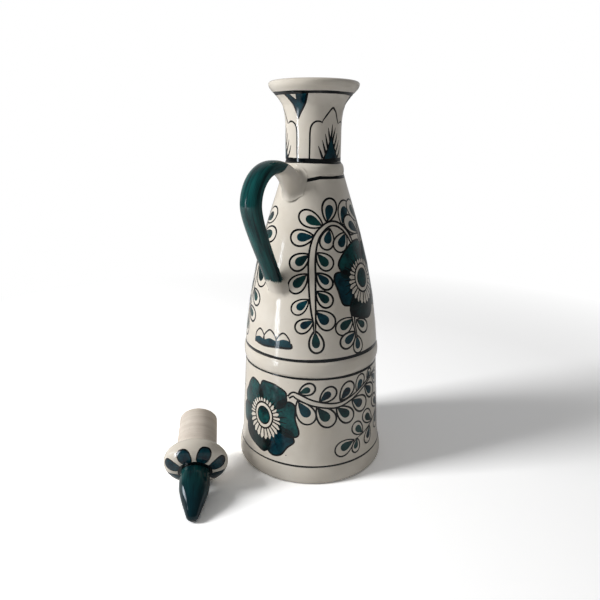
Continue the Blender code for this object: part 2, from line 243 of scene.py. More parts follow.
# %% Painted glaze
CREAM, INK, TEAL, NAVY, DEEP, LEAF = 0.0, 1.0, 2.0, 3.0, 4.0, 5.0
CREAM_LIGHT = colour(0.74, 0.69, 0.61)
CREAM_DARK = colour(0.68, 0.62, 0.53)
SPECK = colour(0.30, 0.25, 0.19)
INK_DARK = colour(0.003, 0.004, 0.005)
INK_THIN = colour(0.006, 0.012, 0.015)
TEAL_DEEP = colour(0.002, 0.012, 0.016)
TEAL_BRIGHT = colour(0.008, 0.098, 0.094)
NAVY_DEEP = colour(0.001, 0.007, 0.016)
NAVY_BRIGHT = colour(0.003, 0.050, 0.068)
POOL_DEEP = colour(0.001, 0.003, 0.004)
POOL_BRIGHT = colour(0.002, 0.025, 0.026)
PETAL_BRIGHT = colour(0.006, 0.080, 0.078)
LEAF_BRIGHT = colour(0.004, 0.052, 0.048)
GLOSS_ROUGHNESS = 0.09
GLAZE = {"IOR": 1.5, "Specular IOR Level": 0.32}  # the thin glaze mirrors little


def cream_colour(board, place):
    """Cream with soft warm patches and a few specks."""
    patches = board.noise(place, 38.0, 3.0)
    cream = board.mix(board.ramp(patches, (0.35, 0.0), (0.7, 1.0)), CREAM_LIGHT, CREAM_DARK)
    specks = board.noise(place, 950.0, 1.0)
    return board.mix(board.ramp(specks, (0.76, 0.0), (0.80, 0.6)), cream, SPECK)


def wash_colour(board, place, deep, bright):
    """A wash: bright where it is thin and nearly black where it pooled."""
    pools = board.noise(place, 130.0, 3.0, 0.6)
    streaks = board.noise(place, 620.0, 2.0)
    depth = board.ramp(pools * 0.8 + streaks * 0.2, (0.36, 0.0), (0.62, 1.0))
    return board.mix(depth, deep, bright)


def ink_colour(board, place):
    """Blue-black line, thinner in places."""
    thin = board.ramp(board.noise(place, 300.0, 2.0), (0.5, 0.0), (0.75, 1.0))
    return board.mix(thin, INK_DARK, INK_THIN)


def gloss(board, place):
    """Roughness and normals of the clear glaze: broad waves and a faint orange peel."""
    waves = board.bump(board.noise(place, 62.0, 2.0), 0.0009, 0.5)
    peel = board.bump(board.noise(place, 700.0, 1.0), 0.00002, 0.6, waves)
    return {
        "Roughness": board.noise(place, 90.0) * 0.06 + (GLOSS_ROUGHNESS - 0.03),
        "Normal": peel,
    }


def make_painted_glaze():
    """The material of every painted or plain glazed piece."""
    board = Board(bpy.data.materials.new("painted_glaze"))
    place = board.place()
    paint = board.attribute("paint")
    lined = board.mix(paint > 0.5, cream_colour(board, place), ink_colour(board, place))
    teal = wash_colour(board, place, TEAL_DEEP, PETAL_BRIGHT)
    navy = wash_colour(board, place, NAVY_DEEP, NAVY_BRIGHT)
    pooled = wash_colour(board, place, POOL_DEEP, POOL_BRIGHT)
    leafy = wash_colour(board, place, TEAL_DEEP, LEAF_BRIGHT)
    washes = board.mix(paint > 3.5, board.mix(paint > 2.5, teal, navy), pooled)
    washes = board.mix(paint > 4.5, washes, leafy)
    painted = board.mix(paint > 1.5, lined, washes)
    return board.finish({"Base Color": painted, **GLAZE, **gloss(board, place)})


painted_glaze = make_painted_glaze()
print("painted glaze has", len(painted_glaze.node_tree.nodes), "nodes")

# %% [markdown]
# ## Outlines
# A pot is an outline spun about an axis. The outline is written as a few corners, each with a
# softness, and a curve like an arc replaces every soft corner. Long straight stretches are then
# divided, so that the painted surface has points close enough together.

# %% Soft outlines
CIRCLE_PULL = 0.5523  # makes a cubic follow a circle on a square corner
FINE_TURN, FEWEST_STEPS = math.radians(6.0), 3  # turn of an outline from one step to the next
ROW = 1.6 * MM
SHARP, GUARD = math.radians(30.0), 0.1 * MM
DOUBLED = 1e-6
TINY = 1e-7


def cubic(a, b, c, d, t):
    """Point at t on a cubic curve with end points a and d."""
    rest = 1.0 - t
    return a * rest**3 + b * (3 * rest * rest * t) + c * (3 * rest * t * t) + d * t**3


def rounding(start, corner, end, steps):
    """Points of a curve like an arc, from start to end."""
    first = start.lerp(corner, CIRCLE_PULL)
    second = end.lerp(corner, CIRCLE_PULL)
    return [cubic(start, first, second, end, i / steps) for i in range(steps + 1)]


def softened(corners, closed=False):
    """Points of an outline whose corners are (radius, height) or (radius, height, softness)."""
    count = len(corners)
    places = [Vector(corner[:2]) for corner in corners]
    softness = [corner[2] if len(corner) > 2 else 0.0 for corner in corners]
    points = []
    for i, place in enumerate(places):
        at_end = not closed and i in (0, count - 1)
        if softness[i] == 0.0 or at_end:
            points.append(place)
            continue
        starts = []
        for j in ((i - 1) % count, (i + 1) % count):
            side = places[j] - place
            room = side.length * softness[i] / (softness[i] + softness[j])
            starts.append(place + side.normalized() * min(softness[i], room))
        bend = (place - starts[0]).angle(starts[1] - place)
        steps = max(FEWEST_STEPS, math.ceil(bend / FINE_TURN))
        points += rounding(starts[0], place, starts[1], steps)
    return points


def guarded(points, closed):
    """Adds a point beside each sharp corner on both sides, so that shading turns only there."""
    result, closing = [], []
    for i, place in enumerate(points):
        before, after = points[i - 1], points[(i + 1) % len(points)]
        at_end = not closed and i in (0, len(points) - 1)
        if at_end or (place - before).angle(after - place) < SHARP:
            result.append(place)
            continue
        near, far = [place + (end - place).normalized() * GUARD for end in (before, after)]
        (result if i else closing).append(near)
        result += [place, far]
    return result + closing


def divided(points, closed=False):
    """The same outline without doubled points, guarded, and in steps of no more than a row."""
    kept = points[:1]
    for place in points[1:]:
        if (place - kept[-1]).length > DOUBLED:
            kept.append(place)
    kept = guarded(kept, closed)
    ends = kept[1:] + kept[:1] if closed else kept[1:]
    result = []
    for start, end in zip(kept, ends):
        steps = math.ceil((end - start).length / ROW)
        result += [start.lerp(end, i / steps) for i in range(steps)]
    return result if closed else result + [kept[-1]]


# %% [markdown]
# ## Sizes of the bottle
# These are the sizes that the CAD model was built from. Only the two rings get more than that:
# small hollows where they meet the wall, because glaze runs together there, and a rounder band.

# %% Sizes of the bottle
WAIST_RADIUS, WAIST_HEIGHT = 0.0490, 0.0850
DRUM_BASE_RADIUS, FOOT_RADIUS = 0.0527, 0.0550
FOOT_HEIGHT, FOOT_BULGE_HEIGHT, FOOT_CURVE, FOOT_EDGE = 0.0160, 0.0083, 0.0038, 0.0026
WALL, FLOOR, FLOOR_CORNER = 0.0045, 0.0060, 0.0080
BAND_BOTTOM, BAND_TOP, BAND_PROUD, BAND_SEAT_RADIUS = 0.0795, 0.0905, 0.0009, 0.0472
BEND_RADIUS, BEND_HEIGHT, BEND_SOFTNESS = 0.0444, 0.1384, 0.0340
SHOULDER_TOP, SHOULDER_TOP_RADIUS = 0.2115, 0.0212
NECK_RADIUS, NECK_BORE, NECK_SEAT_RADIUS = 0.0189, 0.0145, 0.0172
RING_TOP, RING_PROUD, NECK_SEAM_HEIGHT = 0.2195, 0.0025, 0.2155
LIP_TOP, LIP_RADIUS, LIP_THICKNESS, LIP_TALL, LIP_EDGE = 0.2701, 0.0302, 0.0050, 0.0036, 0.0023
FLARE_DROP, FLARE_CURVE = 0.0205, 0.0082
FLARE_WAIST_DROP, FLARE_WAIST_SPREAD, FLARE_WAIST_CURVE = 0.0125, 0.0027, 0.0050
BAND_HOLLOW, BAND_EDGE, BAND_EDGE_CURVE = 0.4 * MM, 1.2 * MM, 0.9 * MM
BAND_ROUND, BAND_SWELL, BAND_SWELL_CURVE = 0.3 * MM, 0.2 * MM, 1.3 * MM


def drum_outline():
    """The drum from the middle of its underside, up the outside and down the inside."""
    return [
        (0.0, 0.0),
        (FOOT_RADIUS, 0.0, FOOT_EDGE),
        (FOOT_RADIUS, FOOT_BULGE_HEIGHT, FOOT_CURVE),
        (DRUM_BASE_RADIUS, FOOT_HEIGHT, FOOT_CURVE),
        (WAIST_RADIUS, BAND_BOTTOM),
        (BAND_SEAT_RADIUS, BAND_BOTTOM),
        (BAND_SEAT_RADIUS, WAIST_HEIGHT),
        (WAIST_RADIUS - WALL, WAIST_HEIGHT),
        (DRUM_BASE_RADIUS - WALL, FLOOR, FLOOR_CORNER),
        (0.0, FLOOR),
    ]


def band_outline():
    """The waist band, a little round, with a small hollow where it leaves the wall."""
    proud = WAIST_RADIUS + BAND_PROUD
    return [
        (WAIST_RADIUS, BAND_BOTTOM),
        (WAIST_RADIUS, BAND_BOTTOM + BAND_HOLLOW, BAND_HOLLOW),
        (proud - BAND_ROUND, BAND_BOTTOM + BAND_EDGE, BAND_EDGE_CURVE),
        (proud + BAND_SWELL, (BAND_BOTTOM + BAND_TOP) / 2, BAND_SWELL_CURVE),
        (proud - BAND_ROUND, BAND_TOP - BAND_EDGE, BAND_EDGE_CURVE),
        (WAIST_RADIUS, BAND_TOP - BAND_HOLLOW, BAND_HOLLOW),
        (WAIST_RADIUS, BAND_TOP),
        (BAND_SEAT_RADIUS, BAND_TOP),
        (BAND_SEAT_RADIUS, BAND_BOTTOM),
    ]


def shoulder_outline():
    """The shoulder: two straight flanks with a long soft bend."""
    return [
        (WAIST_RADIUS, BAND_TOP),
        (BEND_RADIUS, BEND_HEIGHT, BEND_SOFTNESS),
        (SHOULDER_TOP_RADIUS, SHOULDER_TOP),
        (NECK_SEAT_RADIUS, SHOULDER_TOP),
        (NECK_SEAT_RADIUS, NECK_SEAM_HEIGHT),
        (NECK_BORE, NECK_SEAM_HEIGHT),
        (NECK_BORE, SHOULDER_TOP - WALL, WALL),
        (BEND_RADIUS - WALL, BEND_HEIGHT, BEND_SOFTNESS),
        (WAIST_RADIUS - WALL, WAIST_HEIGHT),
        (BAND_SEAT_RADIUS, WAIST_HEIGHT),
        (BAND_SEAT_RADIUS, BAND_TOP),
    ]


def ring_outline():
    """The round ring at the foot of the neck."""
    return [
        (SHOULDER_TOP_RADIUS, SHOULDER_TOP),
        (NECK_RADIUS + RING_PROUD, SHOULDER_TOP + 5.0 * MM, 3.0 * MM),
        (NECK_RADIUS + 0.1 * MM, RING_TOP - 0.6 * MM, 1.6 * MM),
        (NECK_RADIUS, RING_TOP),
        (NECK_SEAT_RADIUS, RING_TOP),
        (NECK_SEAT_RADIUS, SHOULDER_TOP),
    ]


def flare(inset):
    """The two bends of the flare, moved in by the wall."""
    waist = NECK_RADIUS + FLARE_WAIST_SPREAD - inset
    return [
        (NECK_RADIUS - inset, LIP_TOP - FLARE_DROP, FLARE_CURVE),
        (waist, LIP_TOP - FLARE_WAIST_DROP, FLARE_WAIST_CURVE),
    ]


def neck_outline():
    """The neck with its funnel mouth and round lip."""
    inner = LIP_RADIUS - LIP_THICKNESS
    return [
        (NECK_RADIUS, RING_TOP),
        *flare(0.0),
        (LIP_RADIUS, LIP_TOP - LIP_TALL, LIP_EDGE),
        (LIP_RADIUS, LIP_TOP, LIP_EDGE),
        (inner, LIP_TOP, LIP_EDGE),
        (inner, LIP_TOP - LIP_TALL, LIP_EDGE),
        *reversed(flare(NECK_RADIUS - NECK_BORE)),
        (NECK_BORE, NECK_SEAM_HEIGHT),
        (NECK_SEAT_RADIUS, NECK_SEAM_HEIGHT),
        (NECK_SEAT_RADIUS, RING_TOP),
    ]


# %% [markdown]
# ## Painting on a pot
# The ornament could be an image or a texture of shapes, but a painted stroke has a clean edge
# that stays sharp from close by, so each stroke is cut into the mesh. The painter works in
# bearing (degrees round the pot, 0 at the front, more to the right) and height (millimetres).
# A stroke's own shape is drawn in flat millimetres and laid on the pot about its centre, so
# that leaves keep their shape where the pot narrows. Strokes lie over each other in the order in
# which they are painted, as on the real pot.


# %% The painter
BELT_STEP, SLOPE_REACH, END_REACH = 1.5, 30.0, 8.0  # degrees
WANDER, FAST_WANDER = 0.25, 0.12  # millimetres
SWELLING, FAST_SWELLING, END_WIDTH = 0.14, 0.08, 0.35  # shares of a line's width


def unit(rows):
    """Rows scaled to length 1."""
    return rows / np.linalg.norm(rows, axis=1)[:, None]


class Painter:
    """Collects strokes for one pot as outlines of (bearing, height)."""

    def __init__(self, outline, seed, unrolled=False):
        """Unrolled, a height is a length along the outline from where the painting starts."""
        self.outline = np.array([(point.x, point.y) for point in outline]) / MM
        self.unrolled = unrolled
        if unrolled:
            steps = np.linalg.norm(np.diff(self.outline, axis=0), axis=1)
            self.outline[:, 1] = np.concatenate([[0.0], np.cumsum(steps)])
        self.strokes = []
        self.hand = random.Random(seed)
        self.axis = None
        self.turn = 0.0

    def radius(self, height):
        """Radius of the painted side at a height."""
        return np.interp(height, self.outline[:, 1], self.outline[:, 0])

    def upright(self, height):
        """Rise in height for each millimetre up the surface."""
        if self.unrolled:
            return 1.0
        spread = self.radius(height + 0.5) - self.radius(height - 0.5)
        return 1.0 / math.hypot(1.0, spread)

    def lay(self, centre, flat):
        """Places flat points (right, up) about a centre (bearing, height) on the pot."""
        flat = np.asarray(flat, float)
        heights = centre[1] + flat[:, 1] * self.upright(centre[1])
        return np.column_stack(
            [centre[0] + np.degrees(flat[:, 0] / self.radius(heights)), heights]
        )

    def between(self, start, end):
        """Flat distance and direction between two places on the pot."""
        middle = (start[1] + end[1]) / 2
        across = math.radians(end[0] - start[0]) * float(self.radius(middle))
        rise = (end[1] - start[1]) / self.upright(middle)
        return math.hypot(across, rise), math.atan2(rise, across)

    def put(self, paint, outline):
        """Adds a stroke, mirrored about the axis and turned if these are set."""
        outline = np.array(outline, float)
        if self.axis is not None:
            outline[:, 0] = 2.0 * self.axis - outline[:, 0]
        outline[:, 0] += self.turn
        outline[:, 0] -= 360.0 * round(float(outline[:, 0].mean()) / 360.0)
        self.strokes.append((paint, outline))

    def blob(self, paint, centre, angle, shape):
        """Adds a flat shape (along, across), turned by an angle, about a centre."""
        shape = np.asarray(shape, float)
        cos, sin = math.cos(angle), math.sin(angle)
        right = shape[:, 0] * cos - shape[:, 1] * sin
        up = shape[:, 0] * sin + shape[:, 1] * cos
        self.put(paint, self.lay(centre, np.column_stack([right, up])))

    def ribbon(self, paint, places, widths):
        """A brush line through places (bearing, height), with its width at each of them."""
        centre = places[len(places) // 2]
        flat = []
        for place in places:
            across = math.radians(place[0] - centre[0]) * float(self.radius(place[1]))
            flat.append((across, (place[1] - centre[1]) / self.upright(centre[1])))
        line, spread = smooth_line(flat, widths)
        along = unit(np.gradient(line, axis=0))
        side = np.column_stack([-along[:, 1], along[:, 0]]) * spread[:, None] / 2
        self.put(paint, self.lay(centre, np.vstack([line - side, (line + side)[::-1]])))

    def belt(self, paint, height, width, start=-190.0, end=190.0, rise=0.0):
        """A line round the pot that wanders a little, with brush ends if it doesn't close."""
        closes = end - start > 360.0
        bearings = np.arange(start, end + 0.01, BELT_STEP)
        phases = [self.hand.uniform(0.0, math.tau) for _ in range(4)]
        angle = np.radians(bearings)
        middle = height + WANDER * np.sin(angle + phases[0])
        middle += FAST_WANDER * np.sin(3 * angle + phases[1])
        half = width / 2 * (1.0 + SWELLING * np.sin(2 * angle + phases[2]))
        half *= 1.0 + FAST_SWELLING * np.sin(7 * angle + phases[3])
        if not closes:
            middle += rise * np.clip(1.0 - (bearings - start) / SLOPE_REACH, 0.0, 1.0)
            ends = np.clip(np.minimum(bearings - start, end - bearings) / END_REACH, 0.0, 1.0)
            half *= END_WIDTH + (1.0 - END_WIDTH) * ends**0.5
        low = np.column_stack([bearings, middle - half])
        high = np.column_stack([bearings, middle + half])[::-1]
        outline = np.vstack([low, high])
        if closes:
            self.strokes.append((paint, outline))
        else:
            self.put(paint, outline)


def smooth_line(points, widths, step=0.7):
    """A Catmull-Rom curve through points, with widths that follow along."""
    points = np.asarray(points, float)
    guard = np.vstack([2 * points[0] - points[1], points, 2 * points[-1] - points[-2]])
    line, spread = [], []
    for i in range(len(points) - 1):
        p0, p1, p2, p3 = guard[i : i + 4]
        count = max(2, math.ceil(np.linalg.norm(p2 - p1) / step))
        for t in np.arange(count) / count:
            line.append(
                0.5 * (2 * p1 + (p2 - p0) * t + (2 * p0 - 5 * p1 + 4 * p2 - p3) * t * t
                       + (3 * p1 - p0 - 3 * p2 + p3) * t**3)
            )
            spread.append(widths[i] + (widths[i + 1] - widths[i]) * t)
    line.append(points[-1])
    spread.append(widths[-1])
    return np.array(line), np.array(spread)


# %% [markdown]
# ## Leaves, stems and flowers
# The ornament has few kinds of stroke. A leaf is a drop outlined in black, with bare cream
# inside and a smaller blue drop in it. A stem is a black ribbon with a cream one on top. A flower
# has uneven petals, darker where the wash pooled in their creases, and on them a pale rayed disc
# with a ring and an eye.

# %% Leaves, stems and flowers
LINE = 1.33
DROP_POINTS = 40


def drop(start, length, width, point=1.0):
    """A drop along the first axis: pointed where it starts, and round at its far end."""
    angle = np.linspace(0.0, math.tau, DROP_POINTS, endpoint=False)
    across = np.sin(angle) * np.sin(angle / 2) ** point
    across *= width / 2 / np.abs(across).max()
    return np.column_stack([start + length * (1 - np.cos(angle)) / 2, across])


def leaf(painter, base, tip, plump=0.66):
    """A leaf from its base to its far end."""
    length, angle = painter.between(base, tip)
    hand = painter.hand
    width = length * plump * hand.uniform(0.95, 1.06)
    line = LINE * hand.uniform(0.85, 1.15)
    painter.blob(INK, base, angle, drop(-line / 2, length + line, width + line, 0.6))
    painter.blob(CREAM, base, angle, drop(line * 0.7, length - 1.2 * line, width - line, 0.6))
    inner = length * hand.uniform(0.60, 0.68)
    lean = hand.uniform(-0.06, 0.06)
    painter.blob(INK, base, angle + lean, drop(0.02 * length, inner * 0.8, width * 0.42, 1.3))
    wash = LEAF if hand.random() < 0.45 else NAVY
    painter.blob(wash, base, angle + lean, drop(0.10 * length, inner, width * 0.56, 0.9))


def leaves(painter, places):
    """Leaves from pairs of places, each a base and a far end."""
    for base, tip in places:
        leaf(painter, base, tip)


def stem(painter, places, widths):
    """A hollow stem: black edges with cream between."""
    painter.ribbon(INK, places, [width + LINE for width in widths])
    painter.ribbon(CREAM, places, [max(0.12, width - LINE) for width in widths])


def closed_through(places, step=1.5):
    """A closed smooth shape through places."""
    line, _ = smooth_line(list(places) + [places[0]], [0.0] * (len(places) + 1), step)
    return line[:-1]


def closed_curve(radii, squash=1.0):
    """A closed shape from its radius at equal steps of angle."""
    angle = np.linspace(0.0, math.tau, len(radii), endpoint=False)
    return np.column_stack([radii * np.cos(angle) * squash, radii * np.sin(angle)])


def grown(shape, by):
    """A closed shape, drawn anticlockwise, with its edge moved outwards."""
    along = unit(np.roll(shape, -1, axis=0) - np.roll(shape, 1, axis=0))
    return shape + np.column_stack([along[:, 1], -along[:, 0]]) * by


PETAL_EDGE, PETAL_INSET = 0.75, -0.55
POOL = [(0.42, 0.0), (0.62, 1.7), (0.82, 3.0), (1.02, 1.6), (0.98, -0.9), (0.80, -2.0),
        (0.60, -1.1)]  # share of the petal's reach, and millimetres aside
CREASE = [(1.03, 0.7), (0.6, 0.3), (0.6, -0.3), (1.03, -0.7)]


def petals(painter, centre, outlines, washes):
    """Petals from outlines of (angle, reach), each from one crease to the next."""
    shapes = []
    for places in outlines:
        spots = [(reach * math.cos(way), reach * math.sin(way))
                 for way, reach in ((math.radians(angle), reach) for angle, reach in places)]
        line, _ = smooth_line(spots, [0.0] * len(spots))
        shapes.append(np.vstack([[(0.0, 0.0)], line]))
    for shape in shapes:
        painter.blob(INK, centre, 0.0, grown(shape, PETAL_EDGE))
    for shape, wash in zip(shapes, washes):
        painter.blob(wash, centre, 0.0, grown(shape, PETAL_INSET))
    for places in outlines:
        angle, reach = places[0]
        spread = painter.hand.uniform(0.8, 1.3)
        pool = closed_through([(share * reach, aside * spread) for share, aside in POOL])
        painter.blob(DEEP, centre, math.radians(angle), pool)
        crease = [(share * reach, aside) for share, aside in CREASE]
        painter.blob(INK, centre, math.radians(angle), crease)


DISC, DISC_MORE, DISC_SIDE = 14.7, 2.5, math.radians(-85.0)
DISC_WAVE, DISC_SQUASH, DISC_POINTS = 0.9, 0.93, 360
RAYS, FIRST_RAY, RAY_START, RAY_BROAD = 26, 0.75, 9.0, 13.5
RING, EYE, EYE_LINE, RING_POINTS = 10.4, 6.9, 1.1, 72


def flower(painter, centre, outlines, washes):
    """A flower seen from the front."""
    hand = painter.hand
    petals(painter, centre, outlines, washes)
    angle = np.linspace(0.0, math.tau, DISC_POINTS, endpoint=False)
    disc = DISC + DISC_MORE * np.cos(angle - DISC_SIDE) + DISC_WAVE * np.sin(RAYS * angle)
    painter.blob(CREAM, centre, 0.0, closed_curve(disc, DISC_SQUASH))
    for i in range(RAYS):
        way = math.tau * (i + FIRST_RAY + hand.uniform(-0.14, 0.14)) / RAYS
        reach = DISC + DISC_MORE * math.cos(way - DISC_SIDE) + hand.uniform(2.6, 5.8)
        half = hand.uniform(0.46, 0.62)
        ray = [(RAY_START, -half * 0.8), (RAY_BROAD, -half), (reach, -half * 0.35)]
        painter.blob(INK, centre, way, ray + [(x, -y) for x, y in reversed(ray)])
    rings = (
        (INK, RING, 0.88),
        (CREAM, RING - LINE, 0.87),
        (INK, EYE, 0.92),
        (TEAL, EYE - EYE_LINE, 0.92),
    )
    for paint, radius, squash in rings:
        painter.blob(paint, centre, 0.0, closed_curve(np.full(RING_POINTS, radius), squash))


# %% [markdown]
# ## Spinning a pot
# Blender's Spin would turn the whole outline into even rows of faces. The painted part needs
# faces that follow the strokes instead, so it is unrolled flat and triangulated with the strokes'
# edges as fixed lines, and the rest is spun as rows. Both share the same columns, so no gap is
# left. Normals come from the outline itself, so that reflections run smoothly over all of it.

# %% Spinning and cutting
COLUMNS = 180


class Pot:
    """Grows the mesh of one turned piece."""

    def __init__(self, outline, closed):
        self.points = np.array([(point.x, point.y) for point in outline])
        self.closed = closed
        following = np.roll(self.points, -1, axis=0)
        steps = np.linalg.norm(following - self.points, axis=1)
        self.total = steps.sum() if closed else steps[:-1].sum()
        self.reach = np.concatenate([[0.0], np.cumsum(steps)[:-1]])
        self.normals = self.row_normals()
        self.verts, self.vert_normals, self.faces, self.uvs, self.paints = [], [], [], [], []
        self.index = {}

    def row_normals(self):
        """Outward direction (radius, height) at each row."""
        after = np.roll(self.points, -1, axis=0) - self.points
        before = self.points - np.roll(self.points, 1, axis=0)
        if not self.closed:
            after[-1], before[0] = before[-1], after[0]
        along = unit(unit(after) + unit(before))
        return np.column_stack([along[:, 1], -along[:, 0]])

    def vert(self, share, reach):
        """Index of the vertex at a share of the turn and a reach along the outline."""
        if self.closed and reach > self.total - TINY:
            reach = 0.0
        radius = float(np.interp(reach, self.reach, self.points[:, 0]))
        share = 0.0 if share > 1.0 - TINY or radius < TINY else share
        key = (round(share * 1e6), round(reach * 1e7))
        if key not in self.index:
            bearing = math.tau * share - math.pi
            height = float(np.interp(reach, self.reach, self.points[:, 1]))
            out = float(np.interp(reach, self.reach, self.normals[:, 0]))
            up = float(np.interp(reach, self.reach, self.normals[:, 1]))
            sin, cos = math.sin(bearing), math.cos(bearing)
            self.index[key] = len(self.verts)
            self.verts.append((radius * sin, -radius * cos, height))
            self.vert_normals.append((out * sin, -out * cos, up))
        return self.index[key]

    def face(self, corners, paint=CREAM):
        """Adds a face from corners (share of the turn, reach)."""
        found, places = [], []
        for share, reach in corners:
            number = self.vert(share, reach)
            if number not in found:
                found.append(number)
                places.append((share, reach / self.total))
        if len(found) > 2:
            self.faces.append(found)
            self.uvs += places
            self.paints.append(paint)

    def rows(self, first, last):
        """Adds even faces between two rows."""
        ends = list(self.reach) + [self.total]
        for row in range(first, last):
            for column in range(COLUMNS):
                left, right = column / COLUMNS, (column + 1) / COLUMNS
                low, high = ends[row], ends[row + 1]
                self.face([(left, low), (right, low), (right, high), (left, high)])

    def painted(self, first, last, strokes, unrolled=False):
        """Adds the faces between two rows, cut along the strokes."""
        girth = math.tau * float(self.points[first:last, 0].mean()) / MM
        reaches = self.reach[first : last + 1] / MM
        heights = reaches - reaches[0] if unrolled else self.points[first : last + 1, 1] / MM
        low, high = float(reaches[0]), float(reaches[-1])
        shapes = []
        for paint, outline in strokes:
            shift = [outline[:, 0] + 360.0 * k for k in (-1, 0, 1)]
            for bearings in shift:
                if bearings.max() < -180.0 or bearings.min() > 180.0:
                    continue
                across = (bearings / 360.0 + 0.5) * girth
                up = np.interp(outline[:, 1], heights, reaches)
                shapes.append((paint, np.column_stack([across, up])))
        points, edges = flat_grid(girth, reaches)
        for _, shape in shapes:
            start = len(points)
            points += [tuple(point) for point in shape]
            count = len(shape)
            edges += [(start + i, start + (i + 1) % count) for i in range(count)]
        cut = delaunay_2d_cdt([Vector(point) for point in points], edges, [], 0, 1e-4)
        places = np.array([tuple(place) for place in cut[0]])
        corners = np.array([tuple(face) for face in cut[2]])
        centres = places[corners].mean(axis=1)
        inside = (centres[:, 0] > 0) & (centres[:, 0] < girth)
        inside &= (centres[:, 1] > low) & (centres[:, 1] < high)
        paints = np.zeros(len(corners))
        for paint, shape in shapes:
            paints[within(centres, shape)] = paint
        for face, paint in zip(corners[inside], paints[inside]):
            spots = [(min(1.0, max(0.0, places[i][0] / girth)), places[i][1] * MM) for i in face]
            self.face(spots, float(paint))


def flat_grid(girth, reaches):
    """Points of an unrolled grid, and its border as edges."""
    across = [girth * column / COLUMNS for column in range(COLUMNS + 1)]
    points = [(x, float(y)) for y in reaches for x in across]
    wide, tall = COLUMNS + 1, len(reaches)
    edges = []
    for column in range(COLUMNS):
        edges.append((column, column + 1))
        edges.append(((tall - 1) * wide + column, (tall - 1) * wide + column + 1))
    for row in range(tall - 1):
        edges.append((row * wide, (row + 1) * wide))
        edges.append((row * wide + COLUMNS, (row + 1) * wide + COLUMNS))
    return points, edges


def within(points, shape):
    """Which of the points are inside a closed shape."""
    low, high = shape.min(axis=0), shape.max(axis=0)
    near = np.nonzero(((points >= low) & (points <= high)).all(axis=1))[0]
    x, y = points[near, 0], points[near, 1]
    odd = np.zeros(len(near), bool)
    for (x0, y0), (x1, y1) in zip(shape, np.roll(shape, -1, axis=0)):
        crosses = (y0 > y) != (y1 > y)
        if crosses.any():
            odd ^= crosses & (x < (x1 - x0) * (y - y0) / (y1 - y0 if y1 != y0 else 1.0) + x0)
    return near[odd]


# %% [markdown]
# ## From mesh to piece
# A finished piece needs four things: a material, custom normals, a flat map of its surface, and
# its place in the scene: it hangs from an empty for the body it rides on, and the CAD node it takes
# the place of is hidden.


# %% Making a piece
def make_piece(name, pot, material, body, node, matrix=None):
    """Turns grown mesh data into an object of the frame."""
    mesh = bpy.data.meshes.new(name)
    mesh.from_pydata(pot.verts, [], pot.faces)
    mesh.attributes.new("paint", "FLOAT", "FACE").data.foreach_set("value", pot.paints)
    flat = mesh.uv_layers.new(name="OFBake")
    flat.data.foreach_set("uv", [part for place in pot.uvs for part in place])
    mesh.materials.append(material)
    mesh.shade_smooth()
    if pot.vert_normals:
        mesh.normals_split_custom_set_from_vertices(pot.vert_normals)
    if matrix is not None:
        mesh.transform(matrix)
        mesh.update()
    obj = add_object(name, mesh)
    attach(obj, body)
    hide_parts(node)
    print(name, "has", len(mesh.polygons), "faces")
    return obj


def spun(corners, closed=True, painted=None, strokes=()):
    """A pot from its corners, with the part between two heights painted."""
    outline = divided(softened(corners, closed), closed)
    pot = Pot(outline, closed)
    count = len(outline) if closed else len(outline) - 1
    if painted is None:
        pot.rows(0, count)
        return pot
    first = next(i for i, point in enumerate(outline) if point.y >= painted[0] - TINY)
    last = first
    while outline[last + 1].y <= painted[1] + TINY and outline[last + 1].y > outline[last].y:
        last += 1
    pot.rows(0, first)
    pot.painted(first, last, strokes)
    pot.rows(last, count)
    return pot


def painter_for(corners, painted, seed):
    """A painter for the outer side between two heights."""
    outline = divided(softened(corners))
    side = []
    for point in outline:
        if point.y >= painted[0] - TINY and (not side or point.y > side[-1].y):
            side.append(point)
        elif side:
            break
    return Painter(side, seed)


def make_painted(name, node, corners, painted, seed, paint, closed=True):
    """A glazed piece of the bottle, painted between two heights."""
    painter = painter_for(corners, painted, seed)
    paint(painter)
    pot = spun(corners, closed, painted, painter.strokes)
    make_piece(name, pot, painted_glaze, "bottle", node)


# %% [markdown]
# ## The drum
# Two large flowers face each other round the drum. From each a spray of leaves runs off to the
# right under the waist line, and a shorter one hangs to the left above the foot. So the half
# that the photograph shows is painted once, and once more half a turn away.

# %% Paint the drum
DRUM_PAINTED, DRUM_SEED = (0.0085, BAND_BOTTOM), 11
DRUM_LINES = [(78.6, 1.7), (13.6, 1.15)]  # height and width in millimetres
FLOWER_SPRAY = [(-17.6, 64.4), (-13.6, 67.0), (-9.0, 65.4), (3.2, 61.0), (20.1, 58.4),
                (32.9, 60.8), (49.0, 67.1), (60.0, 71.0), (72.0, 74.0)]
FLOWER_SPRAY_WIDTHS = [1.6, 2.9, 4.1, 3.9, 3.4, 2.7, 1.9, 1.3, 0.6]
FLOWER_LEAVES = [
    ((-9.1, 68.0), (3.4, 73.6)),
    ((7.6, 62.1), (20.1, 71.0)),
    ((24.5, 61.6), (36.0, 73.0)),
    ((41.0, 64.4), (47.8, 76.2)),
    ((54.5, 70.0), (60.5, 76.8)),
    ((-10.0, 62.5), (1.6, 46.4)),
    ((5.4, 58.4), (18.6, 44.2)),
    ((21.3, 57.0), (35.8, 45.0)),
    ((35.7, 60.1), (51.7, 51.0)),
    ((51.0, 66.5), (64.5, 56.6)),
    ((63.0, 71.0), (76.0, 64.0)),
]
LOW_SPRAY = [(36.5, 28.3), (48.3, 30.6), (62.4, 35.4), (78.0, 43.0), (92.0, 52.0), (104.0, 57.0)]
LOW_SPRAY_WIDTHS = [0.4, 0.9, 1.3, 1.7, 2.1, 2.6]
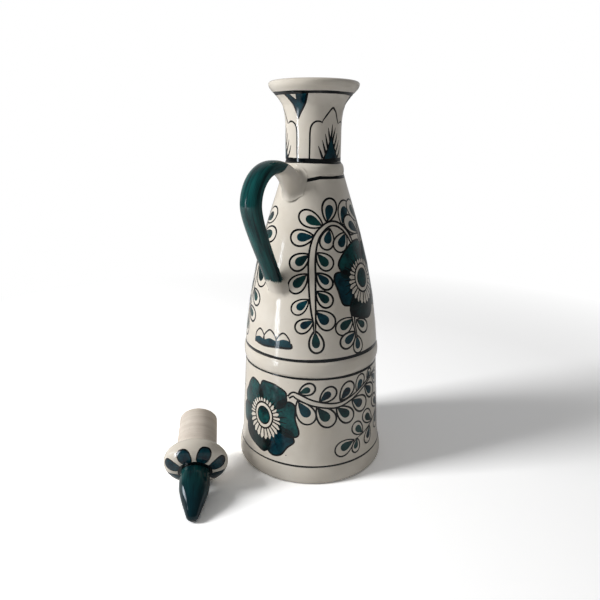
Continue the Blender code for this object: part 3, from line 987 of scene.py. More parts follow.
LOW_LEAVES = [
    ((37.5, 28.4), (20.5, 22.0)),
    ((47.5, 30.8), (37.0, 40.6)),
    ((41.0, 28.8), (38.6, 18.2)),
    ((61.5, 35.6), (48.8, 46.0)),
    ((57.5, 32.6), (52.6, 20.4)),
    ((75.5, 42.6), (63.5, 53.4)),
    ((73.0, 39.0), (69.5, 26.0)),
    ((90.0, 51.6), (78.5, 61.0)),
    ((88.0, 48.0), (87.0, 34.0)),
]
DRUM_FLOWER = (-40.6, 45.7)
DRUM_PETALS = [
    [(-24, 27.0), (-19, 29.4), (-12, 29.2), (7, 25.8), (25, 28.0), (34, 26.6), (38, 24.0)],
    [(38, 24.0), (44, 25.8), (52, 28.2), (70, 27.3), (85, 26.2), (94, 25.4), (101, 21.0)],
    [(101, 21.0), (108, 24.5), (119, 27.4), (131, 26.4), (144, 25.2), (162, 26.0), (174, 23.0)],
    [(174, 23.0), (182, 26.4), (194, 28.0), (206, 27.4), (214, 24.2)],
    [(214, 24.2), (225, 27.0), (238, 27.2), (258, 26.4), (272, 27.4), (281, 25.6)],
    [(281, 25.6), (287, 28.6), (294, 30.0), (303, 30.4), (317, 28.4), (330, 29.4), (336, 27.0)],
]
DRUM_WASHES = [TEAL, TEAL, TEAL, TEAL, DEEP, NAVY]
FLECK_PLACE, FLECK = (-18.5, 20.2), np.full(12, 0.4)  # a fleck that fell from the brush


def paint_drum(painter):
    """Both halves of the drum's ornament, and its two lines."""
    for line in DRUM_LINES:
        painter.belt(INK, *line)
    for turned in (0.0, 180.0):
        painter.turn = turned
        leaves(painter, FLOWER_LEAVES + LOW_LEAVES)
        stem(painter, FLOWER_SPRAY, FLOWER_SPRAY_WIDTHS)
        painter.ribbon(INK, LOW_SPRAY, LOW_SPRAY_WIDTHS)
        flower(painter, DRUM_FLOWER, DRUM_PETALS, DRUM_WASHES)
    painter.turn = 0.0
    painter.blob(INK, FLECK_PLACE, 0.0, closed_curve(FLECK))


make_painted(
    "painted_drum", "lower_body", drum_outline(), DRUM_PAINTED, DRUM_SEED, paint_drum, False
)

# %% [markdown]
# ## Waist band and neck ring
# Both are glazed rings that cover a joint between two thrown parts. The neck's lower line runs
# over the edge of its ring.

# %% Rings
RING_PAINTED, RING_SEED = (SHOULDER_TOP, RING_TOP), 29
RING_LINE = (219.4, 1.7)


def paint_ring(painter):
    """The edge of the neck's lower line."""
    painter.belt(INK, *RING_LINE)


band = spun(band_outline())
make_piece("waist_ring", band, painted_glaze, "bottle", "waist_band")
make_painted("neck_foot_ring", "neck_ring", ring_outline(), RING_PAINTED, RING_SEED, paint_ring)

# %% [markdown]
# ## The shoulder
# Right of the handle a leafy spray rises from a flower, arches over and hangs down. Left of the
# handle it is mirrored, and the side away from the handle repeats both. Under the handle, and
# opposite, stand three small arches over a blue strip.

# %% Paint the shoulder
SHOULDER_PAINTED, SHOULDER_SEED = (BAND_TOP, SHOULDER_TOP), 23
WAIST_LINE = (91.8, 2.3)
SHOULDER_LINE = (210.0, 2.2, -18.0, 296.0, -2.6)  # with its first and last bearing, and its slope
HANDLE_AXIS, FLOWER_AXIS = -35.4, 58.2
SPRAY = [(3.1, 110.5), (2.7, 118.0), (1.8, 126.0), (0.8, 137.0), (0.3, 148.0), (0.0, 157.0),
         (1.4, 166.0), (5.6, 173.4), (13.6, 178.4), (22.0, 180.8), (31.0, 180.4), (40.0, 177.0),
         (46.5, 171.8), (50.6, 165.5)]
SPRAY_WIDTHS = [0.5, 1.6, 3.2, 4.2, 4.7, 4.6, 4.2, 3.7, 3.3, 3.0, 2.7, 2.4, 2.2, 2.0]
SPRAY_LEAVES = [
    ((13.0, 179.6), (-15.8, 187.2)),
    ((18.5, 181.6), (27.2, 196.6)),
    ((39.0, 179.4), (54.4, 194.4)),
    ((47.5, 172.8), (70.6, 183.6)),
    ((2.6, 173.0), (-24.6, 171.4)),
    ((-2.6, 161.8), (-21.4, 153.0)),
    ((-4.0, 149.4), (-20.0, 137.8)),
    ((-2.4, 133.0), (-16.2, 124.0)),
    ((2.0, 119.6), (-12.6, 112.4)),
    ((21.0, 177.8), (13.6, 164.8)),
    ((42.0, 174.6), (26.4, 163.2)),
    ((5.0, 162.8), (19.8, 152.6)),
    ((4.6, 150.0), (18.4, 140.2)),
    ((4.4, 138.2), (17.8, 129.0)),
    ((3.8, 125.6), (18.8, 114.2)),
    ((3.2, 112.6), (5.4, 97.4)),
]
SPRIG = [(38.2, 121.5), (39.0, 115.0), (40.4, 108.5), (41.4, 104.0)]
SPRIG_WIDTHS = [2.6, 1.8, 1.0, 0.3]
SPRIG_LEAVES = [
    ((38.4, 118.2), (21.4, 110.6)),
    ((42.0, 116.4), (55.4, 107.6)),
    ((40.2, 108.6), (25.4, 100.4)),
    ((41.2, 106.0), (43.0, 93.2)),
]
SHOULDER_FLOWER = (57.6, 143.2)
SHOULDER_PETALS = [
    [(74, 21.5), (82, 25.6), (97, 25.6), (112, 24.4), (134, 23.6), (150, 23.4), (161, 20.4)],
    [(161, 20.4), (166, 24.6), (177, 25.6), (192, 24.6), (205, 25.6), (215, 26.4), (225, 23.2)],
    [(225, 23.2), (230, 26.2), (237, 28.1), (254, 27.4), (274, 28.5), (289, 26.4), (296, 22.8)],
    [(296, 22.8), (304, 26.8), (322, 27.4), (340, 26.2), (354, 25.6), (360, 22.0)],
    [(0, 22.0), (7, 25.6), (20, 26.6), (34, 25.2), (40, 21.6)],
    [(40, 21.6), (46, 25.2), (57, 26.2), (69, 25.0), (74, 21.5)],
]
SHOULDER_WASHES = [TEAL, NAVY, DEEP, TEAL, TEAL, TEAL]
ARCHES = [(-53.8, -41.8, 108.6), (-43.4, -29.0, 109.8), (-29.8, -16.6, 109.4)]
ARCH_STRIP = [(-54.0, 98.3), (-54.0, 101.2), (-48.0, 103.2), (-42.0, 102.2), (-36.0, 104.0),
              (-29.5, 103.2), (-23.0, 105.0), (-17.2, 104.0), (-16.2, 99.6), (-28.0, 98.8),
              (-42.0, 97.8)]
ARCH_FOOT = [(-54.2, 98.5), (-42.0, 97.8), (-28.0, 98.9), (-16.2, 99.8), (-15.9, 103.0)]


def little_arches(painter):
    """Three round arches, each from a left to a right foot and a top, over a blue strip."""
    for left, right, top in ARCHES:
        places = [(left, 101.0), (left + 1.4, 105.6), ((left + right) / 2, top),
                  (right - 1.4, 105.8), (right, 101.4)]
        painter.ribbon(INK, places, [0.9, 1.1, 1.2, 1.1, 0.9])
    painter.put(NAVY, closed_through(ARCH_STRIP))
    painter.ribbon(INK, ARCH_FOOT, [0.8, 1.4, 1.4, 1.6, 1.0])


def paint_shoulder(painter):
    """The ornament of the shoulder, all round."""
    painter.belt(INK, *WAIST_LINE)
    painter.belt(INK, *SHOULDER_LINE)
    back = 2.0 * (HANDLE_AXIS - FLOWER_AXIS)
    for axis, turned in ((None, 0.0), (HANDLE_AXIS, 0.0), (FLOWER_AXIS, 0.0), (None, back)):
        painter.axis, painter.turn = axis, turned
        leaves(painter, SPRAY_LEAVES)
        stem(painter, SPRAY, SPRAY_WIDTHS)
    painter.turn = 0.0
    for axis in (None, HANDLE_AXIS):
        painter.axis = axis
        leaves(painter, SPRIG_LEAVES)
        stem(painter, SPRIG, SPRIG_WIDTHS)
        flower(painter, SHOULDER_FLOWER, SHOULDER_PETALS, SHOULDER_WASHES)
    painter.axis = None
    for turned in (0.0, 180.0):
        painter.turn = turned
        little_arches(painter)


make_painted(
    "painted_shoulder", "upper_body", shoulder_outline(), SHOULDER_PAINTED, SHOULDER_SEED,
    paint_shoulder,
)

# %% [markdown]
# ## The neck
# A black line runs under the lip and another round the foot of the neck. Three lotus flowers
# stand on the lower line, and between them a blue chevron hangs from the upper one.

# %% Paint the neck
NECK_PAINTED, NECK_SEED = (RING_TOP, 0.2660), 37
NECK_LINES = [(262.2, 1.8), (220.8, 2.6)]
LOTUS_BEARING = 38.0  # the places of a lotus are given from there
LOTUS_SIDE = [(-45.4, 221.6), (-44.9, 229.2), (-44.4, 238.7), (-41.5, 242.4), (-34.7, 244.6),
              (-25.9, 244.9), (-19.6, 243.9)]
LOTUS_FAR_SIDE = [(3.0 - bearing, height) for bearing, height in LOTUS_SIDE]
LOTUS_SIDE_WIDTHS = [1.1, 1.1, 1.15, 1.2, 1.15, 1.05, 0.6]
LOTUS_TOP = [(-20.8, 244.6), (-12.0, 248.7), (-2.5, 252.6), (0.5, 253.2), (5.0, 252.0),
             (9.6, 250.1), (16.4, 245.6), (20.8, 243.4)]
LOTUS_TOP_WIDTHS = [0.6, 1.15, 1.25, 1.25, 1.15, 1.15, 1.05, 0.6]
LOTUS_HEART = [(-17.5, 220.6), (-12.5, 224.8), (-7.0, 228.6), (-3.0, 232.6), (0.5, 236.6),
               (4.0, 232.8), (8.0, 228.8), (14.0, 225.2), (21.0, 220.6)]
LOTUS_HEART_WIDTHS = [1.1, 1.0, 1.0, 1.0, 0.5]
LOTUS_RAYS = [
    [(-18.5, 221.8), (-23.4, 226.0), (-28.0, 229.8)],
    [(-11.9, 224.6), (-16.0, 229.0), (-19.9, 233.4)],
    [(-7.4, 228.0), (-10.6, 232.6), (-13.6, 237.2)],
    [(-2.6, 233.0), (-5.2, 237.0), (-7.4, 241.0)],
    [(0.2, 234.8), (2.0, 239.0), (2.6, 243.0)],
    [(3.4, 232.8), (8.0, 237.4), (11.4, 241.2)],
    [(7.6, 228.4), (13.6, 233.4), (17.6, 237.8)],
    [(12.0, 225.0), (19.0, 229.4), (24.0, 233.6)],
    [(18.0, 221.8), (26.0, 225.8), (31.0, 230.0)],
]
CHEVRON = [(-49.5, 262.4), (-40.0, 256.0), (-35.0, 251.6), (-31.0, 247.6), (-29.7, 246.4),
           (-27.0, 248.6), (-23.0, 251.1), (-15.0, 255.6), (-8.5, 262.4)]
CHEVRON_BARE = [(-40.5, 261.9), (-29.6, 257.6), (-26.2, 262.2)]


def lotus(painter):
    """A lotus: two side petals, a pointed one between them, a blue heart and its rays."""
    parts = (LOTUS_SIDE, LOTUS_FAR_SIDE, LOTUS_TOP, LOTUS_HEART, *LOTUS_RAYS)
    side, far_side, top, heart, *rays = [
        [(LOTUS_BEARING + bearing, height) for bearing, height in places] for places in parts
    ]
    painter.ribbon(INK, side, LOTUS_SIDE_WIDTHS)
    painter.ribbon(INK, far_side, LOTUS_SIDE_WIDTHS)
    painter.ribbon(INK, top, LOTUS_TOP_WIDTHS)
    painter.put(NAVY, heart)
    painter.ribbon(INK, heart[:5], LOTUS_HEART_WIDTHS)
    painter.ribbon(INK, heart[4:], LOTUS_HEART_WIDTHS[::-1])
    for ray in rays:
        painter.ribbon(INK, ray, [1.7, 1.3, 0.4])


def chevron(painter):
    """A blue chevron with a small bare triangle at its top."""
    painter.put(NAVY, CHEVRON)
    painter.put(CREAM, CHEVRON_BARE)
    painter.ribbon(INK, CHEVRON[4:], [0.5, 1.1, 1.3, 1.3, 1.2])
    painter.ribbon(INK, CHEVRON[:5], [1.1, 1.1, 1.1, 1.0, 0.5])
    painter.ribbon(INK, CHEVRON_BARE[:2], [0.5, 0.5])
    painter.ribbon(INK, CHEVRON_BARE[1:], [0.5, 0.6])


def paint_neck(painter):
    """The whole neck."""
    for turned in (0.0, 120.0, 240.0):
        painter.turn = turned
        chevron(painter)
        lotus(painter)
    for line in NECK_LINES:
        painter.belt(INK, *line)


make_painted("painted_neck", "neck", neck_outline(), NECK_PAINTED, NECK_SEED, paint_neck)

# %% [markdown]
# ## Brushed teal
# Handle and grip are covered with teal by a few long strokes. The bristles leave streaks, so the
# noise is squeezed round the piece and stretched along it. On the handle the strokes start in a
# point near the neck and run out raggedly above the lower root, and the glaze there is cream.


# %% Brushed teal
def make_brushed_teal(name, turns, length, thin, ends=None, blue_tip=None):
    """Streaky teal, brightest where it is thin.

    Ends are (start outside, start inside, end outside, end inside). A blue tip is the share
    of the way along where blue starts to turn to teal, and where it is all teal.
    """
    board = Board(bpy.data.materials.new(name))
    place = board.place()
    around, along = board.unrolled()
    fine = board.noise(board.vector(around * (turns * 9.0), along * length), 3.0, 2.0, 0.6)
    broad = board.noise(board.vector(around * turns, along * (length * 0.7)), 3.0, 2.0, 0.5)
    depth = board.ramp(fine * 0.4 + broad * 0.6, (0.36, 0.0), (thin, 1.0))
    bright = TEAL_BRIGHT
    if blue_tip:
        green = board.ramp(along, (blue_tip[0], 0.0), (blue_tip[1], 1.0))
        bright = board.mix(green, NAVY_BRIGHT, TEAL_BRIGHT)
    paint = board.mix(depth, TEAL_DEEP, bright)
    if ends:
        outside = 1.0 - abs(around - 0.5) * 2.0
        raggedness = board.noise(board.vector(around * (turns * 14.0), along * 3.0), 3.0, 1.0)
        start = (ends[0] - ends[1]) * outside + (raggedness - 0.5) * 0.02 + ends[1]
        end = (ends[2] - ends[3]) * outside + (raggedness - 0.5) * 0.06 + ends[3]
        covered = (along > start) * (along < end)
        paint = board.mix(covered, cream_colour(board, place), paint)
    return board.finish({"Base Color": paint, **GLAZE, **gloss(board, place)})


# %% [markdown]
# ## The handle
# A potter pulls a strap of clay, bends it and presses both ends on the shoulder. It is made here
# as oval sections along the same centreline as in the CAD model. Each line of points along the
# strap starts and ends where it meets the shoulder. Near there it is pushed out along the wall,
# by as much as a round fillet needs. The fillets widen both roots, so the strap itself is slimmer
# there than the CAD's, and the upper root leans to one side, as a thumb left it.

# %% Sweep the handle
HANDLE_BEARING = math.radians(-123.0)
HANDLE_TOP_ROOT, HANDLE_SPAN, HANDLE_RISE = 0.0050, 0.0690, 0.0106
HANDLE_BEND, HANDLE_STANDOFF, ROOT_SINK = 0.0222, 0.0256, 0.0040
STRAP_WIDTH, STRAP_THICKNESS, STRAP_LOW_WIDTH = 0.0150, 0.0086, 0.0122
NARROWING = (0.45, 0.80)
ROOT_WIDTH, ROOT_TALL, ROOT_FLARE, ROOT_ASIDE = 0.0126, 0.0220, 0.0190, 0.0018
LOW_ROOT_WIDTH, LOW_ROOT_THICKNESS, LOW_ROOT_FLARE = 0.0138, 0.0050, 0.0160
SECTION_POWER = 0.8
TOP_FILLET, UNDER_FILLET, LOW_FILLET = 3.8 * MM, 4.6 * MM, 2.6 * MM
UNDER_POWER = 0.7  # how fast the fillet grows toward the strap's underside
HIDDEN = 0.25 * MM  # how far the ends run on below the shoulder's surface
STRAP_SIDES, STRAP_RINGS = 96, 220
CROWDING = 0.95  # how much closer the rings lie at both ends
CURVE_STEPS, FINE_STEPS = 120, 1200
SKIN_TOP = 0.24
SLOPE_STEP = 0.5 * MM
BARE_ENDS = (0.125, 0.25, 0.88, 0.93)  # where the teal starts and stops, outside and inside
# How the centreline leaves its fixed points, as shares of the rise or the drop between them
LEAVES_TOP_ROOT, REACHES_CROWN = np.array([0.38, 0.29]), np.array([-0.33, 0.0])
LEAVES_BEND, REACHES_LOW_ROOT = np.array([-0.01, -0.20]), np.array([0.115, 0.27])


def body_skin():
    """The outer side that the handle meets, as (radius, height)."""
    corners = shoulder_outline()[:3] + ring_outline()[1:4] + [(NECK_RADIUS, SKIN_TOP)]
    return np.array([(point.x, point.y) for point in divided(softened(corners))])


def curve_points(*fixed):
    """Points of a cubic curve as rows of an array, without the last one."""
    t = np.linspace(0.0, 1.0, CURVE_STEPS, endpoint=False)[:, None]
    return cubic(*[np.array([place]) for place in fixed], t)


def strap_centreline(skin):
    """The strap's centreline as (distance from the axis, height), and the way along it."""
    top = SHOULDER_TOP - HANDLE_TOP_ROOT
    low = top - HANDLE_SPAN
    top_radius, low_radius = np.interp([top, low], skin[:, 1], skin[:, 0])
    crown = np.array([low_radius + HANDLE_STANDOFF - HANDLE_BEND, top + HANDLE_RISE])
    outermost = crown + [HANDLE_BEND, -HANDLE_BEND]
    start = np.array([top_radius - ROOT_SINK / 2, top - ROOT_SINK / 2])
    end = np.array([low_radius - ROOT_SINK / 2, low - ROOT_SINK])
    rise = np.linalg.norm(crown - start)
    drop = outermost[1] - end[1]
    turn = np.linspace(0.0, math.pi / 2, CURVE_STEPS, endpoint=False)
    to_crown = (start, start + LEAVES_TOP_ROOT * rise, crown + REACHES_CROWN * rise, crown)
    bend = crown + np.column_stack([np.sin(turn), np.cos(turn) - 1.0]) * HANDLE_BEND
    to_root = (outermost, outermost + LEAVES_BEND * drop, end + REACHES_LOW_ROOT * drop, end)
    line = np.vstack([curve_points(*to_crown), bend, curve_points(*to_root), [end]])
    steps = np.linalg.norm(np.diff(line, axis=0), axis=1)
    return line, np.concatenate([[0.0], np.cumsum(steps)])


def swell(distance, reach):
    """How far a root swells: 1 at its end, and 0 past its reach."""
    return np.clip(1.0 - distance / reach, 0.0, None) ** 2


def strap_size(along, total):
    """Width and thickness of the strap."""
    narrow = np.clip((along / total - NARROWING[0]) / (NARROWING[1] - NARROWING[0]), 0.0, 1.0)
    narrow = narrow * narrow * (3.0 - 2.0 * narrow)
    top_swell, low_swell = swell(along, ROOT_FLARE), swell(total - along, LOW_ROOT_FLARE)
    width = STRAP_WIDTH + (STRAP_LOW_WIDTH - STRAP_WIDTH) * narrow
    width += (ROOT_WIDTH - STRAP_WIDTH) * top_swell
    width += (LOW_ROOT_WIDTH - STRAP_LOW_WIDTH) * low_swell
    thickness = STRAP_THICKNESS + (ROOT_TALL - STRAP_THICKNESS) * top_swell
    return width, thickness + (LOW_ROOT_THICKNESS - STRAP_THICKNESS) * low_swell


class Strap:
    """Grows the mesh of the handle, in the handle's own plane."""

    def __init__(self):
        self.skin = body_skin()
        self.line, self.reach = strap_centreline(self.skin)
        self.total = self.reach[-1]
        self.heading = unit(np.gradient(self.line, self.reach, axis=0))
        self.verts, self.faces, self.uvs, self.paints, self.vert_normals = [], [], [], [], []
        self.grow()

    def at(self, along, rows):
        """Rows that belong to the centreline's points, read at distances along it."""
        return np.column_stack([np.interp(along, self.reach, column) for column in rows.T])

    def side_line(self, side, along):
        """One line of points along the strap: (out, across, up), and its outward directions."""
        angle = math.tau * (side / STRAP_SIDES) - math.pi / 2
        parts = (math.cos(angle), math.sin(angle))
        across, raised = [math.copysign(abs(part) ** SECTION_POWER, part) for part in parts]
        way = self.at(along, self.heading)
        outward = np.column_stack([-way[:, 1], way[:, 0]])
        width, thickness = strap_size(along, self.total)
        spot = self.at(along, self.line) + outward * (raised * thickness / 2)[:, None]
        aside = ROOT_ASIDE * swell(along, ROOT_FLARE)
        points = np.column_stack([spot[:, 0], across * width / 2 - aside, spot[:, 1]])
        steep = abs(math.sin(angle)) * width / thickness
        normal = outward * raised * steep[:, None]
        sideways = np.full(len(along), across)
        return points, unit(np.column_stack([normal[:, 0], sideways, normal[:, 1]]))

    def above_skin(self, points):
        """How far points are outside the body, and the body's outward direction there."""
        radius = np.hypot(points[:, 0], points[:, 1])
        low, skin, high = [
            np.interp(points[:, 2] + step, self.skin[:, 1], self.skin[:, 0])
            for step in (-SLOPE_STEP, 0.0, SLOPE_STEP)
        ]
        slope = (high - low) / (2 * SLOPE_STEP)
        lean = 1.0 / np.hypot(1.0, slope)
        out = np.column_stack([points[:, :2] / radius[:, None], -slope]) * lean[:, None]
        return (radius - skin) * lean, out

    def grow(self):
        """Rings of points with a fillet at both ends."""
        fine = np.linspace(0.0, self.total, FINE_STEPS)
        share = np.linspace(0.0, 1.0, STRAP_RINGS)
        share -= CROWDING * np.sin(math.tau * share) / math.tau
        rings, shares = [], []
        for side in range(STRAP_SIDES):
            gap, _ = self.above_skin(self.side_line(side, fine)[0])
            outside = np.nonzero(gap > -HIDDEN)[0]
            along = fine[outside[0]] + (fine[outside[-1]] - fine[outside[0]]) * share
            points, normals = self.side_line(side, along)
            gap, out = self.above_skin(points)
            facing_down = -math.sin(math.tau * (side / STRAP_SIDES) - math.pi / 2)
            under = max(0.0, facing_down) ** UNDER_POWER
            top_fillet = TOP_FILLET + (UNDER_FILLET - TOP_FILLET) * under
            fillet = np.where(along < self.total / 2, top_fillet, LOW_FILLET)
            near = np.clip(fillet - gap, 0.0, fillet)
            push = fillet - np.sqrt(fillet**2 - near**2)
            flat = unit(normals - out * (normals * out).sum(axis=1)[:, None])
            points = points + flat * push[:, None]
            turned_up = near / fillet
            blended = out * turned_up[:, None] + normals * np.sqrt(1.0 - turned_up**2)[:, None]
            self.vert_normals += [tuple(row) for row in unit(blended)]
            gap, out = self.above_skin(points)
            rings.append(points + out * np.clip(-HIDDEN - gap, 0.0, None)[:, None])
            shares.append(along / self.total)
        self.verts = [tuple(point) for ring in rings for point in ring]
        for side in range(STRAP_SIDES):
            other = (side + 1) % STRAP_SIDES
            for i in range(STRAP_RINGS - 1):
                corners = (side, i), (other, i), (other, i + 1), (side, i + 1)
                self.faces.append([s * STRAP_RINGS + k for s, k in corners])
                for k, (line, row) in zip((0, 1, 1, 0), corners):
                    self.uvs.append(((side + k) / STRAP_SIDES, float(shares[line][row])))
                self.paints.append(CREAM)


handle_teal = make_brushed_teal("brushed_handle", 3.0, 2.0, 0.64, BARE_ENDS)
plane = Matrix.Rotation(HANDLE_BEARING, 4, "Z")
strap = Strap()
print("strap is", round(strap.total / MM, 1), "mm long")
make_piece("strap_handle", strap, handle_teal, "bottle", "handle", plane)

# %% [markdown]
# ## The stopper
# The stopper is thrown upside down in one go: a pointed grip, a fat collar and a hollow plug. Grip
# and collar are glazed, and the plug stays bare so that it doesn't stick in the kiln. It lies
# on grip and collar, so its axis rises a little towards the plug.

# %% Stopper outlines, from the tip of the grip
SEAM = 0.3 * MM
TIP_RADIUS, TIP_CURVE = 0.0030, 0.0026
GRIP_LENGTH, GRIP_RADIUS, GRIP_BELLY, GRIP_CURVE = 0.0340, 0.0107, 0.0260, 0.0055
GRIP_BASE_RADIUS = GRIP_RADIUS - 0.0011
GRIP_FLANK = (0.80, 0.65)  # corner of the flank, as shares of the swell and of the belly
COLLAR_START = GRIP_LENGTH + SEAM
COLLAR_END = COLLAR_START + 0.0150
PLUG_CLEARANCE, PLUG_LENGTH, PLUG_WALL, PLUG_TAPER = 0.0006, 0.0293, 0.0036, 0.0006
PLUG_FOOT, PLUG_FOOT_TALL, PLUG_EDGE, PLUG_INNER_EDGE = 0.0014, 0.0022, 0.0024, 0.0009
PLUG_RADIUS = NECK_BORE - PLUG_CLEARANCE
PLUG_START = COLLAR_END + SEAM
PLUG_END = PLUG_START + PLUG_LENGTH
PLUG_FOOT_RADIUS = PLUG_RADIUS + PLUG_FOOT
PLUG_TIP_RADIUS = PLUG_RADIUS - PLUG_TAPER
PLUG_HOLLOW = PLUG_TIP_RADIUS - PLUG_WALL
COLLAR_RADIUS, COLLAR_DROP = PLUG_RADIUS + 0.0080, 0.0011
COLLAR_CURVE, COLLAR_PLUG_CURVE = 0.0093, 0.0084
HOLLOW_END, HOLLOW_CURVE = COLLAR_END - 0.0100, 0.0058
TIP_ASIDE, TIP_AHEAD = 0.0187, 0.0427  # the grip's tip, from the foot's side and front
STOPPER_HEADING = math.radians(6.8)


def grip_outline():
    """The pointed grip."""
    flank = TIP_RADIUS + (GRIP_RADIUS - TIP_RADIUS) * GRIP_FLANK[0]
    return [
        (0.0, 0.0),
        (TIP_RADIUS, 0.0, TIP_CURVE),
        (flank, GRIP_BELLY * GRIP_FLANK[1], GRIP_CURVE),
        (GRIP_RADIUS, GRIP_BELLY, GRIP_CURVE),
        (GRIP_BASE_RADIUS, GRIP_LENGTH),
        (0.0, GRIP_LENGTH),
    ]


def collar_outline():
    """The fat collar, with the end of the plug's hollow."""
    return [
        (0.0, COLLAR_START),
        (GRIP_BASE_RADIUS + SEAM, COLLAR_START),
        (COLLAR_RADIUS, COLLAR_START + COLLAR_DROP, COLLAR_CURVE),
        (COLLAR_RADIUS, COLLAR_END, COLLAR_PLUG_CURVE),
        (PLUG_FOOT_RADIUS, COLLAR_END),
        (PLUG_HOLLOW, COLLAR_END),
        (PLUG_HOLLOW, HOLLOW_END, HOLLOW_CURVE),
        (0.0, HOLLOW_END),
    ]


def plug_outline():
    """The bare plug, open at its far end."""
    return [
        (PLUG_HOLLOW, PLUG_START),
        (PLUG_FOOT_RADIUS, PLUG_START),
        (PLUG_RADIUS, PLUG_START + PLUG_FOOT_TALL, PLUG_FOOT),
        (PLUG_TIP_RADIUS, PLUG_END, PLUG_EDGE),
        (PLUG_HOLLOW, PLUG_END, PLUG_INNER_EDGE),
    ]


def lying_place():
    """Where the stopper's axis lies when grip and collar both touch the ground."""
    grip, collar = softened(grip_outline()), softened(collar_outline())
    slopes = [max((far.x - near.x) / (far.y - near.y) for far in collar) for near in grip]
    tilt = math.atan(min(slopes))
    reach = max(spot.x * math.cos(tilt) - spot.y * math.sin(tilt) for spot in grip + collar)
    place = Matrix.Translation((-FOOT_RADIUS - TIP_ASIDE, -FOOT_RADIUS - TIP_AHEAD, reach))
    heading = Matrix.Rotation(STOPPER_HEADING, 4, "Z")
    return place @ heading @ Matrix.Rotation(tilt - math.pi / 2, 4, "X")


# %% [markdown]
# ## Petals on the collar
# Eight blue petals stand round the grip like a small sun, and a black ring closes the joint
# between them. The collar's face is nearly flat, so here the painter measures along the
# outline, from the grip outwards, instead of by height.

# %% Paint the collar
PETAL_START, PETAL_LENGTH, PETAL_WIDTH, PETAL_LINE = 0.6, 13.2, 11.6, 1.1
PETAL_COUNT, FIRST_PETAL, COLLAR_SEED = 8, 22.5, 53
BLUE_TIP = (0.30, 0.66)  # shares of the grip's outline
CLAY_DARK, CLAY_LIGHT = colour(0.60, 0.52, 0.44), colour(0.76, 0.69, 0.61)
PORE = colour(0.24, 0.20, 0.16)


def petal(length, width):
    """A long petal, blunt at its foot and round at its far end."""
    angle = np.linspace(0.0, math.tau, DROP_POINTS, endpoint=False)
    along = (1 - np.cos(angle)) / 2
    across = np.abs(np.sin(angle)) ** 0.8 * np.sign(np.sin(angle)) * (0.70 + 0.30 * along)
    return np.column_stack([length * along, across * width / 2])


def paint_collar(painter, edge):
    """Petals and ring. Edge is where the grip's edge is, in millimetres along the outline."""
    foot = (0.0, edge + PETAL_START)
    inset = PETAL_WIDTH - 2 * PETAL_LINE
    for i in range(PETAL_COUNT):
        painter.turn = FIRST_PETAL + 360.0 / PETAL_COUNT * i + painter.hand.uniform(-1.5, 1.5)
        length = PETAL_LENGTH * painter.hand.uniform(0.95, 1.05)
        painter.blob(INK, foot, math.pi / 2, petal(length, PETAL_WIDTH))
        painter.blob(NAVY, foot, math.pi / 2, petal(length - PETAL_LINE, inset))
    painter.belt(INK, edge + PETAL_START, 2.0 * edge)


def make_stopper():
    """The three pieces of the stopper."""
    lying = lying_place()
    collar = divided(softened(collar_outline()))
    first = next(i for i, spot in enumerate(collar) if spot.x > GRIP_BASE_RADIUS - ROW)
    last = max(range(len(collar)), key=lambda i: collar[i].x)
    painter = Painter(collar[first : last + 1], COLLAR_SEED, unrolled=True)
    paint_collar(painter, (GRIP_BASE_RADIUS + SEAM - collar[first].x) / MM)
    pot = Pot(collar, False)
    pot.rows(0, first)
    pot.painted(first, last, painter.strokes, unrolled=True)
    pot.rows(last, len(collar) - 1)
    make_piece(
        "stopper_petals", pot, painted_glaze, "stopper", "stopper_collar", lying
    )
    grip = spun(grip_outline(), False)
    grip_teal = make_brushed_teal("brushed_grip", 2.0, 1.0, 0.90, blue_tip=BLUE_TIP)
    make_piece("pointed_grip", grip, grip_teal, "stopper", "stopper_finial", lying)
    plug = spun(plug_outline())
    make_piece("bare_plug", plug, make_bare_clay(), "stopper", "stopper_plug", lying)


def make_bare_clay():
    """Fired clay without glaze: matt, with fine rings from turning and small pores."""
    board = Board(bpy.data.materials.new("bare_clay"))
    place = board.place()
    around, along = board.unrolled()
    rings = board.noise(board.vector(around * 1.5, along * 60.0), 1.0, 3.0, 0.6)
    bands = board.noise(board.vector(around * 2.0, along * 16.0), 1.0, 1.0)
    patches = board.noise(place, 120.0, 2.0)
    shade = rings * 0.35 + bands * 0.4 + patches * 0.25
    soft = board.ramp(shade, (0.36, 0.0), (0.62, 1.0))
    tone = board.mix(soft, CLAY_DARK, CLAY_LIGHT)
    pores = board.ramp(board.noise(place, 1100.0, 1.0), (0.70, 0.0), (0.78, 1.0))
    tone = board.mix(pores * 0.6, tone, PORE)
    grooves = board.bump(rings, 0.0002, 0.6)
    grain = board.bump(board.noise(place, 1500.0), 0.00006, 0.6, grooves)
    return board.finish({"Base Color": tone, "Roughness": 0.82, "Normal": grain})


make_stopper()

# %% [markdown]
# ## Studio
# The photograph was taken by a window on the left. A broad lamp gives its soft light. Narrow
# bright panes are there only for the glaze to mirror as a tall streak, and a slanting strip does
# the same for the grip. A weak lamp behind on the right lifts the dark edge. Floor and sky look
# white, but the floor still darkens where the bottle keeps the window's light from it.

# %% Floor
FLOOR_REACH, FLOOR_SIDES = 6.0, 64
FADE_START, FADE_END = 0.34, 0.60
FLOOR_TONE, FLOOR_GAIN = 0.8, 2.0  # how pale the floor is, and how much paler it looks


def grey(tone):
    """A colour without hue."""
    return colour(tone, tone, tone)


def ray_kinds(board):
    """1 for rays straight from the camera or through glass, and 1 for mirrored rays."""
    straight = board.node("ShaderNodeLightPath", output="Is Camera Ray")
    through = straight.beside("Is Transmission Ray")
    return board.clamp(straight + through), straight.beside("Is Glossy Ray")


